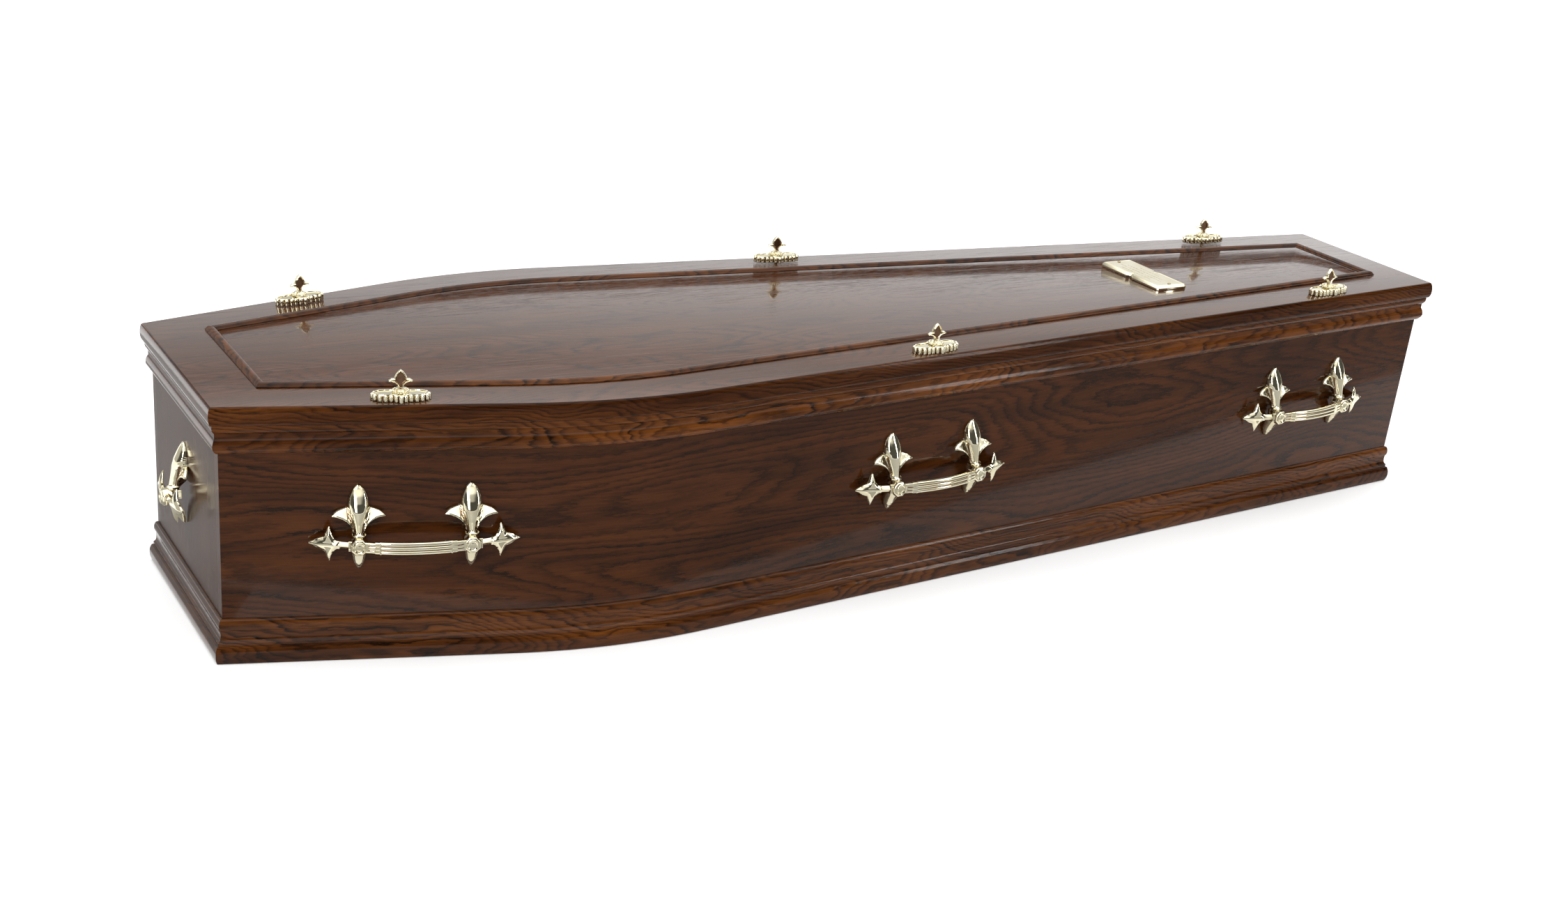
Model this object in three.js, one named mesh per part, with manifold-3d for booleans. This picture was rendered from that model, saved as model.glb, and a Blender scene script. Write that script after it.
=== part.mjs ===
// Wooden coffin, shouldered pattern, in millimetres.
// X runs from the head end (minus) to the foot end (plus), Z is up, the underside is Z 0.
// The box is made of two kerf-bent side boards, a head board, a raked foot board and a floor board.
// Mouldings are planted round its foot and its top edge, and a loose lid rests on it.
import * as THREE from 'three';
import * as BufferGeometryUtils from 'three/addons/utils/BufferGeometryUtils.js';
import Module from 'manifold-3d';

const wasm = await Module();
wasm.setup();
const { Manifold, Mesh: SolidMesh } = wasm;

// Plan of the lid's edge, at the top of the box.
const lidLength = 1950;
const shoulderFromHead = 484;
const headHalf = 179;
const shoulderHalf = 310.5;
const footHalf = 156;
const shoulderRadius = 700;
const shoulderFacets = 8;
const stretchSteps = 5;

// The same plan at the floor: the foot end rakes in and the sides lean in towards the foot.
const footRake = 17;
const shoulderHalfFloor = 309;
const footHalfFloor = 142;

// Heights.
const lidTop = 340;
const lidThickness = 25;
const gap = 0.3;
const lidUnderside = lidTop - lidThickness;
const boxTop = lidUnderside - gap;

// Boards. The box face lies inside the lid's edge by faceInset.
const faceInset = 8.5;
const boardThickness = 18;
const floorThickness = 18;
const floorClearance = 0.5;
const kerfCount = 7;
const kerfHalfWidth = 1;
const kerfSkin = 4;

// Rounded edge of the lid.
const bullnoseOut = 4.5;
const bullnoseDepth = 4;
const bullnoseSteps = 6;

// Mouldings, as pairs of distance out from the lid's edge line and height.
const mouldingBack = gap - faceInset;
const baseProfile = [
  [mouldingBack, 0],
  [1.2, 0],
  [3, 7],
  [2.7, 16],
  [0.2, 23],
  [-1.8, 23.4],
  [-1.8, 27],
  [-5.4, 33],
  [-5.4, 41],
  [-3.4, 46],
  [-4, 53],
  [mouldingBack, 58],
];
const friezeProfile = [
  [mouldingBack, 277],
  [-4.6, 278],
  [-0.9, 284],
  [-0.9, 291],
  [-4, 297],
  [-4, 303.5],
  [-0.4, 309],
  [-0.4, boxTop],
  [mouldingBack, boxTop],
];
const mitreGap = 0.2;

// Bead planted on the lid, round the panel.
const beadSideInset = 67;
const beadHeadInset = 69;
const beadFootInset = 62;
const beadBase = lidTop + gap;
const beadProfile = [
  [0, 0],
  [0, 2.2],
  [-4, 5.8],
  [-10, 5.8],
  [-14, 2.2],
  [-14, 0],
];

// Handles: two brackets and a bowed bar, three handles a side and a short one at each end.
const handleFromHead = 237;
const handleFromFoot = 244;
const handleX = [handleFromHead - lidLength / 2, 3, lidLength / 2 - handleFromFoot];
const hubSpacing = 139;
const hubHeight = 161;
const hubRadius = 11.5;
const hubBack = 12;
const hubFront = 32;
const hubSides = 8;
const discRadius = 6.5;
const discHeight = 2;
const bracketTopAbove = 73;
const tongueBelow = 39;
const seatGap = 0.3;
const petalReach = 32;
const petalAbove = 33;

// Bar of a handle: a bow, reeded between the hubs, with a fleur tip past each hub.
const bowRadius = 300;
const bowMiddle = 34;
const reedHalfHeight = 8.4;
const reedDepth = 2.4;
const barThickness = 7;
const slotClearance = 0.5;
const blockFrom = 54;
const blockHalfHeight = 7;
const shaftHalfHeight = 4.6;
const shaftFrom = 13;
const fleurFrom = 26;
const fleurLength = 61;
const fleurHalfWidth = 8;
const leafHeight = 23;
const leafOut = 37;

// Lid screws with their plates.
const screwFromHead = 223;
const screwFromFoot = 212;
const screwX = [screwFromHead - lidLength / 2, 3, lidLength / 2 - screwFromFoot];
const screwInset = 19;
const plateArmLong = 38;
const plateArmShort = 19;
const plateWaist = 9;
const plateHeight = 9.5;
const plateTopInset = 2.2;
const plateFlutes = 16;
const fluteDepth = 1.1;
const collarRadius = 11;
const collarHeight = 5;
const shankRadius = 3;
const shankDepth = 20;
const shankClearance = 0.8;
const finialHeight = 25;
const finialBudHalf = 8;
const finialThickness = 4;
const finialPetalReach = 15;

// Name plate and its two pins.
const namePlateFromFoot = 448;
const namePlateX = lidLength / 2 - namePlateFromFoot;
const namePlateLength = 150;
const namePlateWidth = 56;
const namePlateHeight = 6.5;
const namePlateBevel = 3;
const namePlateCorner = 5;
const namePlateNotch = 3.5;
const namePlateNotchHalf = 9;
const pinReach = 66;
const pinHeadRadius = 2.6;
const pinHeadHeight = 1.4;
const pinShankRadius = 1.2;
const pinDepth = 7;

const woodDark = new THREE.MeshStandardMaterial({ color: '#4a2b1d', roughness: 0.18, metalness: 0 });
const woodTrim = new THREE.MeshStandardMaterial({ color: '#6a3f25', roughness: 0.2, metalness: 0 });
const woodInside = new THREE.MeshStandardMaterial({ color: '#b08a5e', roughness: 0.7, metalness: 0 });
const brass = new THREE.MeshStandardMaterial({ color: '#d8cfa4', roughness: 0.16, metalness: 1 });

const coffin = new THREE.Group();

// A closed body from rings of equal length, capped at both ends.
function loft(rings, capOutline) {
  const count = rings[0].length;
  const positions = rings.flat().flatMap((p) => [p.x, p.y, p.z]);
  const faces = [];
  for (let r = 0; r < rings.length - 1; r += 1) {
    for (let i = 0; i < count; i += 1) {
      const j = (i + 1) % count;
      const a = r * count + i;
      const b = r * count + j;
      faces.push([a, b, b + count], [a, b + count, a + count]);
    }
  }
  const cap = THREE.ShapeUtils.triangulateShape(capOutline, []);
  const last = (rings.length - 1) * count;
  const area = THREE.ShapeUtils.area(capOutline);
  for (const [a, b, c] of cap) {
    const tri = area > 0 ? [a, b, c] : [c, b, a];
    faces.push([tri[2], tri[1], tri[0]]);
    faces.push([last + tri[0], last + tri[1], last + tri[2]]);
  }
  return solid(positions, faces);
}

// Triangles as a geometry whose faces point out.
function solid(positions, faces) {
  const geometry = new THREE.BufferGeometry();
  geometry.setAttribute('position', new THREE.Float32BufferAttribute(positions, 3));
  geometry.setIndex(faces.flat());
  return outward(geometry);
}

// Signed volume decides which way round the triangles go.
function outward(geometry) {
  const p = geometry.attributes.position;
  const index = geometry.index.array;
  const a = new THREE.Vector3();
  const b = new THREE.Vector3();
  const c = new THREE.Vector3();
  let volume = 0;
  for (let i = 0; i < index.length; i += 3) {
    a.fromBufferAttribute(p, index[i]);
    b.fromBufferAttribute(p, index[i + 1]);
    c.fromBufferAttribute(p, index[i + 2]);
    volume += a.dot(b.cross(c));
  }
  if (volume < 0) {
    for (let i = 0; i < index.length; i += 3) {
      const swap = index[i];
      index[i] = index[i + 1];
      index[i + 1] = swap;
    }
  }
  return geometry;
}

// Geometry to a solid that can be joined or cut, and back.
function toSolid(geometry) {
  const clean = new THREE.BufferGeometry();
  clean.setAttribute('position', geometry.attributes.position.clone());
  if (geometry.index) clean.setIndex(geometry.index.clone());
  const merged = BufferGeometryUtils.mergeVertices(clean, 1e-4);
  return new Manifold(new SolidMesh({
    numProp: 3,
    vertProperties: new Float32Array(merged.attributes.position.array),
    triVerts: new Uint32Array(merged.index.array),
  }));
}

function toGeometry(manifold) {
  const mesh = manifold.getMesh();
  const geometry = new THREE.BufferGeometry();
  geometry.setAttribute('position', new THREE.Float32BufferAttribute(mesh.vertProperties, 3));
  geometry.setIndex(Array.from(mesh.triVerts));
  return geometry;
}

function place(name, geometry, material, parent = coffin) {
  const mesh = new THREE.Mesh(geometry, material);
  mesh.name = name;
  parent.add(mesh);
  return mesh;
}

// Plan of the box at a height: the corners of the near side, leaning as the boards do.
function planAt(z) {
  const t = Math.min(z / lidUnderside, 1);
  return {
    headX: -lidLength / 2,
    footX: lidLength / 2 - footRake * (1 - t),
    head: new THREE.Vector2(-lidLength / 2, -headHalf),
    shoulder: new THREE.Vector2(
      shoulderFromHead - lidLength / 2,
      -THREE.MathUtils.lerp(shoulderHalfFloor, shoulderHalf, t),
    ),
    foot: new THREE.Vector2(
      lidLength / 2 - footRake * (1 - t),
      -THREE.MathUtils.lerp(footHalfFloor, footHalf, t),
    ),
  };
}

// Outward normals of the two straight stretches of the near side.
function normals(plan) {
  const out = (from, to) => {
    const along = to.clone().sub(from).normalize();
    return new THREE.Vector2(along.y, -along.x);
  };
  return [out(plan.head, plan.shoulder), out(plan.shoulder, plan.foot)];
}

// A point of the near side's rounded shoulder, s from 0 to 1, a distance out from the edge line.
function shoulderPoint(z, out, s) {
  const plan = planAt(z);
  const [n1, n2] = normals(plan);
  const mitre = n1.clone().add(n2).divideScalar(1 + n1.dot(n2));
  const centre = plan.shoulder.clone().addScaledVector(mitre, -shoulderRadius);
  const a1 = Math.atan2(n1.y, n1.x);
  const a2 = Math.atan2(n2.y, n2.x);
  const angle = THREE.MathUtils.lerp(a1, a2, s);
  const reach = shoulderRadius + out;
  return new THREE.Vector2(centre.x + reach * Math.cos(angle), centre.y + reach * Math.sin(angle));
}

// Where the near side's line, a distance out, crosses a given X; end 0 is the head stretch.
function straightPoint(z, out, end, x) {
  const plan = planAt(z);
  const n = normals(plan)[end];
  const from = plan.shoulder.clone().addScaledVector(n, out);
  const along = new THREE.Vector2(-n.y, n.x);
  return from.addScaledVector(along, (x - from.x) / along.x);
}

// A point part of the way from the shoulder's curve to the end of a straight stretch.
function stretchPoint(z, out, { end, part }, x) {
  return shoulderPoint(z, out, end).lerp(straightPoint(z, out, end, x), part);
}

// One ring of a side piece at a station, on a straight stretch or along the shoulder's curve.
function sideRing(profile, base, station, endX) {
  return profile.map(([out, rise]) => {
    const z = base + rise;
    let p;
    if (station.end === undefined) p = shoulderPoint(z, out, station.s);
    else p = stretchPoint(z, out, station, endX(station.end, z, out));
    return new THREE.Vector3(p.x, p.y, z);
  });
}

const headStation = { end: 0, part: 1 };
const shoulderStations = Array.from({ length: shoulderFacets + 1 }, (_, i) => ({ s: i / shoulderFacets }));
const footStations = Array.from({ length: stretchSteps }, (_, i) => ({ end: 1, part: (i + 1) / stretchSteps }));

function profileOutline(profile) {
  return profile.map(([u, v]) => new THREE.Vector2(u, v));
}

function mirrored(geometry) {
  const copy = geometry.clone();
  copy.scale(1, -1, 1);
  return outward(copy);
}

// A moulding along a side, mitred at both ends.
function sideMoulding(profile, base, endX) {
  const stations = [headStation, ...shoulderStations, ...footStations];
  const rings = stations.map((station) => sideRing(profile, base, station, endX));
  return loft(rings, profileOutline(profile));
}

// A moulding across an end, mitred to the side mouldings.
function endMoulding(profile, base, end, endX, sideOut) {
  const rings = [1, -1].map((side) => profile.map(([out, rise]) => {
    const z = base + rise;
    const x = endX(end, z, out);
    const y = straightPoint(z, sideOut(out), end, x).y + mitreGap;
    return new THREE.Vector3(x, side * y, z);
  }));
  return loft(rings, profileOutline(profile));
}

// Mitred ends follow the end's own offset line; square ends stop flush with the end board's face.
const mitredX = (inset) => (end, z, out) => {
  const plan = planAt(z);
  return end === 0 ? plan.headX - out + inset : plan.footX + out - inset;
};
const sideMitre = mitredX(mitreGap);
const endMitre = mitredX(0);
const faceX = (end, z) => {
  const plan = planAt(z);
  return end === 0 ? plan.headX + faceInset : plan.footX - faceInset;
};

// A closed plan loop: both sides a distance out, cut off at the X given for each end.
function planLoop(z, out, xHead, xFoot) {
  const near = [
    straightPoint(z, out, 0, xHead),
    ...shoulderStations.map(({ s }) => shoulderPoint(z, out, s)),
    straightPoint(z, out, 1, xFoot),
  ];
  const far = near.map((p) => new THREE.Vector2(p.x, -p.y)).reverse();
  return [...near, ...far].map((p) => new THREE.Vector3(p.x, p.y, z));
}

// A solid stacked from plan loops.
function stackedLoops(loops) {
  return loft(loops, loops[0].map((p) => new THREE.Vector2(p.x, p.y)));
}

// Cylinder standing on Z between two heights.
function upright(radius, z0, z1, x, y, sides) {
  const cylinder = new THREE.CylinderGeometry(radius, radius, z1 - z0, sides);
  cylinder.rotateX(Math.PI / 2);
  cylinder.translate(x, y, (z0 + z1) / 2);
  return cylinder;
}

// Lid screw positions: on the lid's rim, over the middle of the side boards.
const screwSpots = screwX.map((x) => {
  const end = x < shoulderFromHead - lidLength / 2 ? 0 : 1;
  const p = straightPoint(lidUnderside, -screwInset, end, x);
  const n = normals(planAt(lidUnderside))[end];
  return { x: p.x, y: p.y, turn: Math.atan2(n.x, -n.y) };
});
const pinSpots = [pinReach, -pinReach];

// Floor board, let in between the four boards.
const innerOut = -faceInset - boardThickness - gap;
const floorOut = -faceInset - boardThickness - floorClearance;
const floorLoops = [0, floorThickness].map((z) => {
  const plan = planAt(z);
  return planLoop(z, floorOut, plan.headX - floorOut, plan.footX + floorOut);
});
place('floor_board', stackedLoops(floorLoops), woodInside);

// Side boards, with saw kerfs across the inner face that let the shoulder bend.
const baseTop = baseProfile.at(-1)[1];
const friezeBottom = friezeProfile[0][1];
const boardLevels = [0, baseTop, (baseTop + friezeBottom) / 2, friezeBottom, boxTop];
const sideBoardProfile = (inner) => [
  ...boardLevels.map((z) => [-faceInset, z]),
  ...boardLevels.map((z) => [inner, z]).reverse(),
];
const sideBoardRing = (station, inner) => sideRing(sideBoardProfile(inner), 0, station, faceX);
const kerfTurn = kerfHalfWidth / shoulderRadius;
const [turnA, turnB] = normals(planAt(0)).map((n) => Math.atan2(n.y, n.x));
const kerfStep = kerfTurn / Math.abs(turnB - turnA);
const boardInner = -faceInset - boardThickness;
const boardRings = [sideBoardRing(headStation, boardInner), sideBoardRing({ s: 0 }, boardInner)];
for (let k = 0; k < kerfCount; k += 1) {
  const s = (k + 0.5) / kerfCount;
  boardRings.push(sideBoardRing({ s: s - kerfStep }, boardInner));
  boardRings.push(sideBoardRing({ s }, -faceInset - kerfSkin));
  boardRings.push(sideBoardRing({ s: s + kerfStep }, boardInner));
}
boardRings.push(sideBoardRing({ s: 1 }, boardInner));
boardRings.push(...footStations.map((station) => sideBoardRing(station, boardInner)));
const boardOutline = profileOutline(sideBoardProfile(boardInner));
let sideBoard = toSolid(loft(boardRings, boardOutline));
const holeRadius = shankRadius + shankClearance;
const shankEnd = lidUnderside - shankDepth;
for (const { x, y } of screwSpots) {
  const hole = upright(holeRadius, shankEnd - 1, lidUnderside + 1, x, y, 6);
  sideBoard = sideBoard.subtract(toSolid(hole));
}
const nearBoard = toGeometry(sideBoard);
place('side_board_near', nearBoard, woodDark);
place('side_board_far', mirrored(nearBoard), woodDark);

// Head and foot boards, between the side boards and flush with their ends.
function endBoard(end) {
  const inward = end === 0 ? 1 : -1;
  const ring = (z) => {
    const x = faceX(end, z);
    const back = x + inward * boardThickness;
    const yFace = straightPoint(z, innerOut, end, x).y;
    const yBack = straightPoint(z, innerOut, end, back).y;
    return [[x, yFace], [x, -yFace], [back, -yBack], [back, yBack]].map(([px, py]) => new THREE.Vector3(px, py, z));
  };
  const rings = [ring(0), ring(boxTop)];
  return loft(rings, rings[0].map((p) => new THREE.Vector2(p.x, p.y)));
}
place('head_board', endBoard(0), woodDark);
place('foot_board', endBoard(1), woodDark);

// Base moulding, planted round the foot of the box.
const baseSide = sideMoulding(baseProfile, 0, sideMitre);
place('base_moulding_near', baseSide, woodTrim);
place('base_moulding_far', mirrored(baseSide), woodTrim);
place('base_moulding_head', endMoulding(baseProfile, 0, 0, endMitre, (out) => out), woodTrim);
place('base_moulding_foot', endMoulding(baseProfile, 0, 1, endMitre, (out) => out), woodTrim);

// Frieze moulding, planted under the lid.
const friezeSide = sideMoulding(friezeProfile, 0, sideMitre);
place('frieze_moulding_near', friezeSide, woodTrim);
place('frieze_moulding_far', mirrored(friezeSide), woodTrim);
place('frieze_moulding_head', endMoulding(friezeProfile, 0, 0, endMitre, (out) => out), woodTrim);
place('frieze_moulding_foot', endMoulding(friezeProfile, 0, 1, endMitre, (out) => out), woodTrim);

// Lid board with its rounded edge, drilled for the screws and the plate pins.
const lidPlan = planAt(lidTop);
const lidLoops = Array.from({ length: bullnoseSteps + 1 }, (_, i) => {
  const angle = Math.PI * (i / bullnoseSteps - 0.5);
  const out = bullnoseOut - bullnoseDepth * (1 - Math.cos(angle));
  const z = lidUnderside + (lidThickness / 2) * (1 + Math.sin(angle));
  return planLoop(z, out, lidPlan.headX - out, lidPlan.footX + out);
});
let lid = toSolid(stackedLoops(lidLoops));
for (const { x, y } of screwSpots) {
  for (const side of [1, -1]) {
    const hole = upright(holeRadius, lidUnderside - 1, lidTop + 1, x, side * y, 6);
    lid = lid.subtract(toSolid(hole));
  }
}
for (const y of pinSpots) {
  const hole = upright(pinShankRadius + gap, lidTop - pinDepth - 1, lidTop + 1, namePlateX, y, 6);
  lid = lid.subtract(toSolid(hole));
}
place('lid_board', toGeometry(lid), woodDark);

// Bead on the lid, mitred round the panel.
const beadX = (inset) => (end, z, out) => {
  const past = out + beadSideInset;
  const headLine = lidPlan.headX + beadHeadInset - past + inset;
  return end === 0 ? headLine : lidPlan.footX - beadFootInset + past - inset;
};
const beadSideProfile = beadProfile.map(([out, rise]) => [out - beadSideInset, rise]);
const beadSide = sideMoulding(beadSideProfile, beadBase, beadX(mitreGap));
place('lid_bead_near', beadSide, woodTrim);
place('lid_bead_far', mirrored(beadSide), woodTrim);
place('lid_bead_head', endMoulding(beadSideProfile, beadBase, 0, beadX(0), (out) => out), woodTrim);
place('lid_bead_foot', endMoulding(beadSideProfile, beadBase, 1, beadX(0), (out) => out), woodTrim);

// Half-round section of a fitting, flat side towards the wall: half width, back and front.
function domeRing(level, half, back, front, middle = 0) {
  const points = [];
  const steps = 4;
  for (let i = 0; i <= steps; i += 1) {
    const angle = Math.PI * (i / steps);
    const rise = Math.sin(angle) ** 0.8;
    points.push(new THREE.Vector3(middle - half * Math.cos(angle), -back - (front - back) * rise, level));
  }
  return points;
}

const domeOutline = domeRing(0, 1, 0, 1).map((p) => new THREE.Vector2(p.x, p.y));

// Leaf or petal: a horn along a bent line, thick at its root and pointed at its tip.
function horn(points, widths, depths) {
  const curve = new THREE.CatmullRomCurve3(points);
  const steps = 3;
  const rings = [];
  for (let i = 0; i <= steps; i += 1) {
    const t = i / steps;
    const p = curve.getPoint(t);
    const along = curve.getTangent(t);
    const out = new THREE.Vector3(0, -1, 0);
    const across = new THREE.Vector3().crossVectors(along, out).normalize();
    const width = THREE.MathUtils.lerp(widths[0], widths[1], t ** 1.3);
    const depth = THREE.MathUtils.lerp(depths[0], depths[1], t);
    rings.push([
      p.clone().addScaledVector(across, width).addScaledVector(out, -depth),
      p.clone().addScaledVector(out, depth),
      p.clone().addScaledVector(across, -width).addScaledVector(out, -depth),
    ]);
  }
  const section = [[1, -1], [0, 1], [-1, -1]];
  return loft(rings, section.map(([u, v]) => new THREE.Vector2(u, v)));
}

// Bracket: a fleur-de-lis against the wall whose stem swells out to a hub, with a tongue below.
// Its frame: X along the wall, minus Y out from the wall, Z up, the hub's centre at Z 0.
function bracketSolid() {
  const stem = [
    [bracketTopAbove, 0.8, gap, 1.6],
    [bracketTopAbove - 11, 7.6, gap, 8.5],
    [bracketTopAbove - 26, 13.4, gap, 15.5],
    [bracketTopAbove - 40, 12.6, gap, 18.5],
    [bracketTopAbove - 52, 8.4, gap, 20],
    [14, 7, 8, 22],
    [4, 6.4, 14, 24],
  ];
  const rings = stem.map(([level, half, back, front]) => domeRing(level, half, back, front));
  let bracket = toSolid(loft(rings, domeOutline));
  for (const side of [1, -1]) {
    const petal = horn([
      new THREE.Vector3(side * 3, -15, 14),
      new THREE.Vector3(side * 11, -14, 30),
      new THREE.Vector3(side * 21, -12, 37),
      new THREE.Vector3(side * petalReach, -9, petalAbove),
    ], [6, 0.7], [5, 0.9]);
    bracket = bracket.add(toSolid(petal));
  }
  const collar = new THREE.BoxGeometry(17, 13, 3.4);
  collar.translate(0, -17.5, hubRadius + 0.6);
  bracket = bracket.add(toSolid(collar));
  const hubSteps = [
    [hubBack, hubRadius],
    [hubFront, hubRadius],
    [hubFront + discHeight, discRadius],
  ];
  const hubRing = ([out, radius]) => Array.from({ length: hubSides }, (_, i) => {
    const angle = ((i + 0.5) / hubSides) * Math.PI * 2;
    return new THREE.Vector3(radius * Math.cos(angle), -out, radius * Math.sin(angle));
  });
  const hubRings = hubSteps.map(hubRing);
  const hub = loft(hubRings, hubRings[0].map((p) => new THREE.Vector2(p.x, p.z)));
  bracket = bracket.add(toSolid(hub));
  const tongue = [
    [-7, 8.6, 9, 23],
    [-20, 7, 3.5, 15],
    [-tongueBelow, 0.9, gap, 4],
  ];
  const tongueRings = tongue.map(([level, half, back, front]) => domeRing(level, half, back, front));
  return bracket.add(toSolid(loft(tongueRings, domeOutline)));
}

// How far a handle's bar stands out from the wall at a distance along it.
function bowAt(u, middle) {
  return middle - (bowRadius - Math.sqrt(bowRadius ** 2 - u ** 2));
}

// Section of the bar: a flat back and a front that carries the reeds.
function barRing(u, halfHeight, thickness, reeds, middle) {
  const centre = bowAt(u, middle);
  const front = centre + thickness / 2;
  const back = centre - thickness / 2;
  const section = [
    [front - reeds * 0.5, -halfHeight],
    [front - reeds, -halfHeight * 0.4],
    [front, 0],
    [front - reeds, halfHeight * 0.4],
    [front - reeds * 0.5, halfHeight],
    [back, halfHeight * 0.85],
    [back, -halfHeight * 0.85],
  ];
  return section.map(([y, z]) => new THREE.Vector3(u, -y, z));
}

// Stations of a bar whose hubs stand at plus and minus half a spacing.
function barStations(half) {
  const tip = half + fleurLength;
  const stations = [];
  if (half > 0) {
    for (const part of [0, 0.5, 1]) stations.push([part * blockFrom, reedHalfHeight, barThickness, reedDepth]);
    stations.push([blockFrom + 1.5, blockHalfHeight, barThickness, 0.4]);
  }
  stations.push([half + shaftFrom, blockHalfHeight, barThickness, 0.4]);
  stations.push([half + shaftFrom + 1.5, shaftHalfHeight, barThickness, 1.2]);
  stations.push([half + fleurFrom, shaftHalfHeight, barThickness, 1.4]);
  stations.push([half + fleurFrom + 5, leafHeight * 0.45, barThickness * 0.8, 1.4]);
  stations.push([half + leafOut, leafHeight, barThickness * 0.35, 0.6]);
  stations.push([half + leafOut + 2, fleurHalfWidth, barThickness * 0.8, 1.4]);
  stations.push([half + leafOut + 9, fleurHalfWidth, barThickness * 0.8, 1.4]);
  stations.push([tip, 0.8, 1.6, 0.3]);
  const first = half > 0 ? stations.slice(1) : stations;
  return [...first.map(([u, ...rest]) => [-u, ...rest]).reverse(), ...stations];
}

function barShape(half, middle) {
  const rings = barStations(half).map(([u, h, t, r]) => barRing(u, h, t, r, middle));
  return loft(rings, rings[0].map((p) => new THREE.Vector2(p.y, p.z)));
}

// Slot through a hub for the bar, following its bow.
function slotSolid(at, offset, middle) {
  const reach = hubRadius + 4;
  const rings = [-reach, 0, reach].map((step) => {
    const centre = bowAt(at + step, middle);
    const high = blockHalfHeight + slotClearance;
    const deep = barThickness / 2 + slotClearance;
    const corners = [[deep, -high], [deep, high], [-deep, high], [-deep, -high]];
    return corners.map(([y, z]) => new THREE.Vector3(at + step - offset, -(centre + y), z));
  });
  return toSolid(loft(rings, rings[0].map((p) => new THREE.Vector2(p.y, p.z))));
}

const bracketBody = bracketSolid();
const halfSpacing = hubSpacing / 2;
const hubStandoff = bowAt(halfSpacing, bowMiddle);
const barAt = barShape(halfSpacing, bowMiddle);
const endBarAt = barShape(0, hubStandoff);
const leftBracket = toGeometry(bracketBody.subtract(slotSolid(-halfSpacing, -halfSpacing, bowMiddle)));
const rightBracket = toGeometry(bracketBody.subtract(slotSolid(halfSpacing, halfSpacing, bowMiddle)));
const endBracket = toGeometry(bracketBody.subtract(slotSolid(0, 0, hubStandoff)));

// Frame of the near wall at an X and the hub's height: along, out and up the leaning face.
function wallFrame(x) {
  const end = x < shoulderFromHead - lidLength / 2 ? 0 : 1;
  const at = (px, z) => {
    const p = straightPoint(z, seatGap - faceInset, end, px);
    return new THREE.Vector3(p.x, p.y, z);
  };
  const origin = at(x, hubHeight);
  const along = at(x + 1, hubHeight).sub(origin).normalize();
  const up = at(x, hubHeight + 1).sub(origin);
  const out = new THREE.Vector3().crossVectors(along, up).normalize();
  const inward = out.clone().negate();
  const rise = new THREE.Vector3().crossVectors(along, inward);
  return new THREE.Matrix4().makeBasis(along, inward, rise).setPosition(origin);
}

// Handles on both long sides.
const handleNames = ['head', 'middle', 'foot'];
handleX.forEach((x, i) => {
  const frame = wallFrame(x);
  const pieces = [
    ['bracket_a', leftBracket, -halfSpacing],
    ['bracket_b', rightBracket, halfSpacing],
    ['bar', barAt, 0],
  ];
  for (const [piece, shape, offset] of pieces) {
    const near = shape.clone().translate(offset, 0, 0).applyMatrix4(frame);
    place(`handle_near_${handleNames[i]}_${piece}`, near, brass);
    place(`handle_far_${handleNames[i]}_${piece}`, mirrored(near), brass);
  }
});

// One bracket with a short bar at the middle of each end.
const headFitting = new THREE.Group();
headFitting.rotation.z = -Math.PI / 2;
headFitting.position.set(faceX(0, hubHeight), 0, hubHeight);
place('end_fitting_head_bracket', endBracket, brass, headFitting);
place('end_fitting_head_bar', endBarAt, brass, headFitting);
coffin.add(headFitting);
const footFitting = new THREE.Group();
const rakeAngle = Math.atan2(footRake, lidUnderside);
footFitting.rotation.set(rakeAngle, 0, Math.PI / 2, 'ZXY');
footFitting.position.set(faceX(1, hubHeight), 0, hubHeight);
place('end_fitting_foot_bracket', endBracket, brass, footFitting);
place('end_fitting_foot_bar', endBarAt, brass, footFitting);
coffin.add(footFitting);

// Plate under a lid screw: a cross with long arms along the lid's edge and a fluted rim.
function plateOutline(inset) {
  const points = [];
  const count = plateFlutes * 2;
  for (let i = 0; i < count; i += 1) {
    const angle = (i / count) * Math.PI * 2;
    const c = Math.cos(angle);
    const s = Math.sin(angle);
    const arm = Math.abs(c) ** 5 * plateArmLong + Math.abs(s) ** 5 * plateArmShort;
    const reach = Math.max(arm, 0) + plateWaist * (1 - Math.abs(c) ** 5 - Math.abs(s) ** 5) * 1.35;
    const flute = i % 2 === 0 ? 0 : fluteDepth;
    const r = reach - inset - flute;
    points.push(new THREE.Vector2(r * c, r * s));
  }
  return points;
}

function screwPlate() {
  const levels = [
    [0, 0],
    [plateHeight * 0.7, 0.3],
    [plateHeight, plateTopInset],
  ];
  const rings = levels.map(([z, inset]) => plateOutline(inset).map((p) => new THREE.Vector3(p.x, p.y, z)));
  const plate = toSolid(loft(rings, plateOutline(0)));
  const hole = upright(holeRadius, -1, plateHeight + 1, 0, 0, 6);
  return toGeometry(plate.subtract(toSolid(hole)));
}

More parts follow.
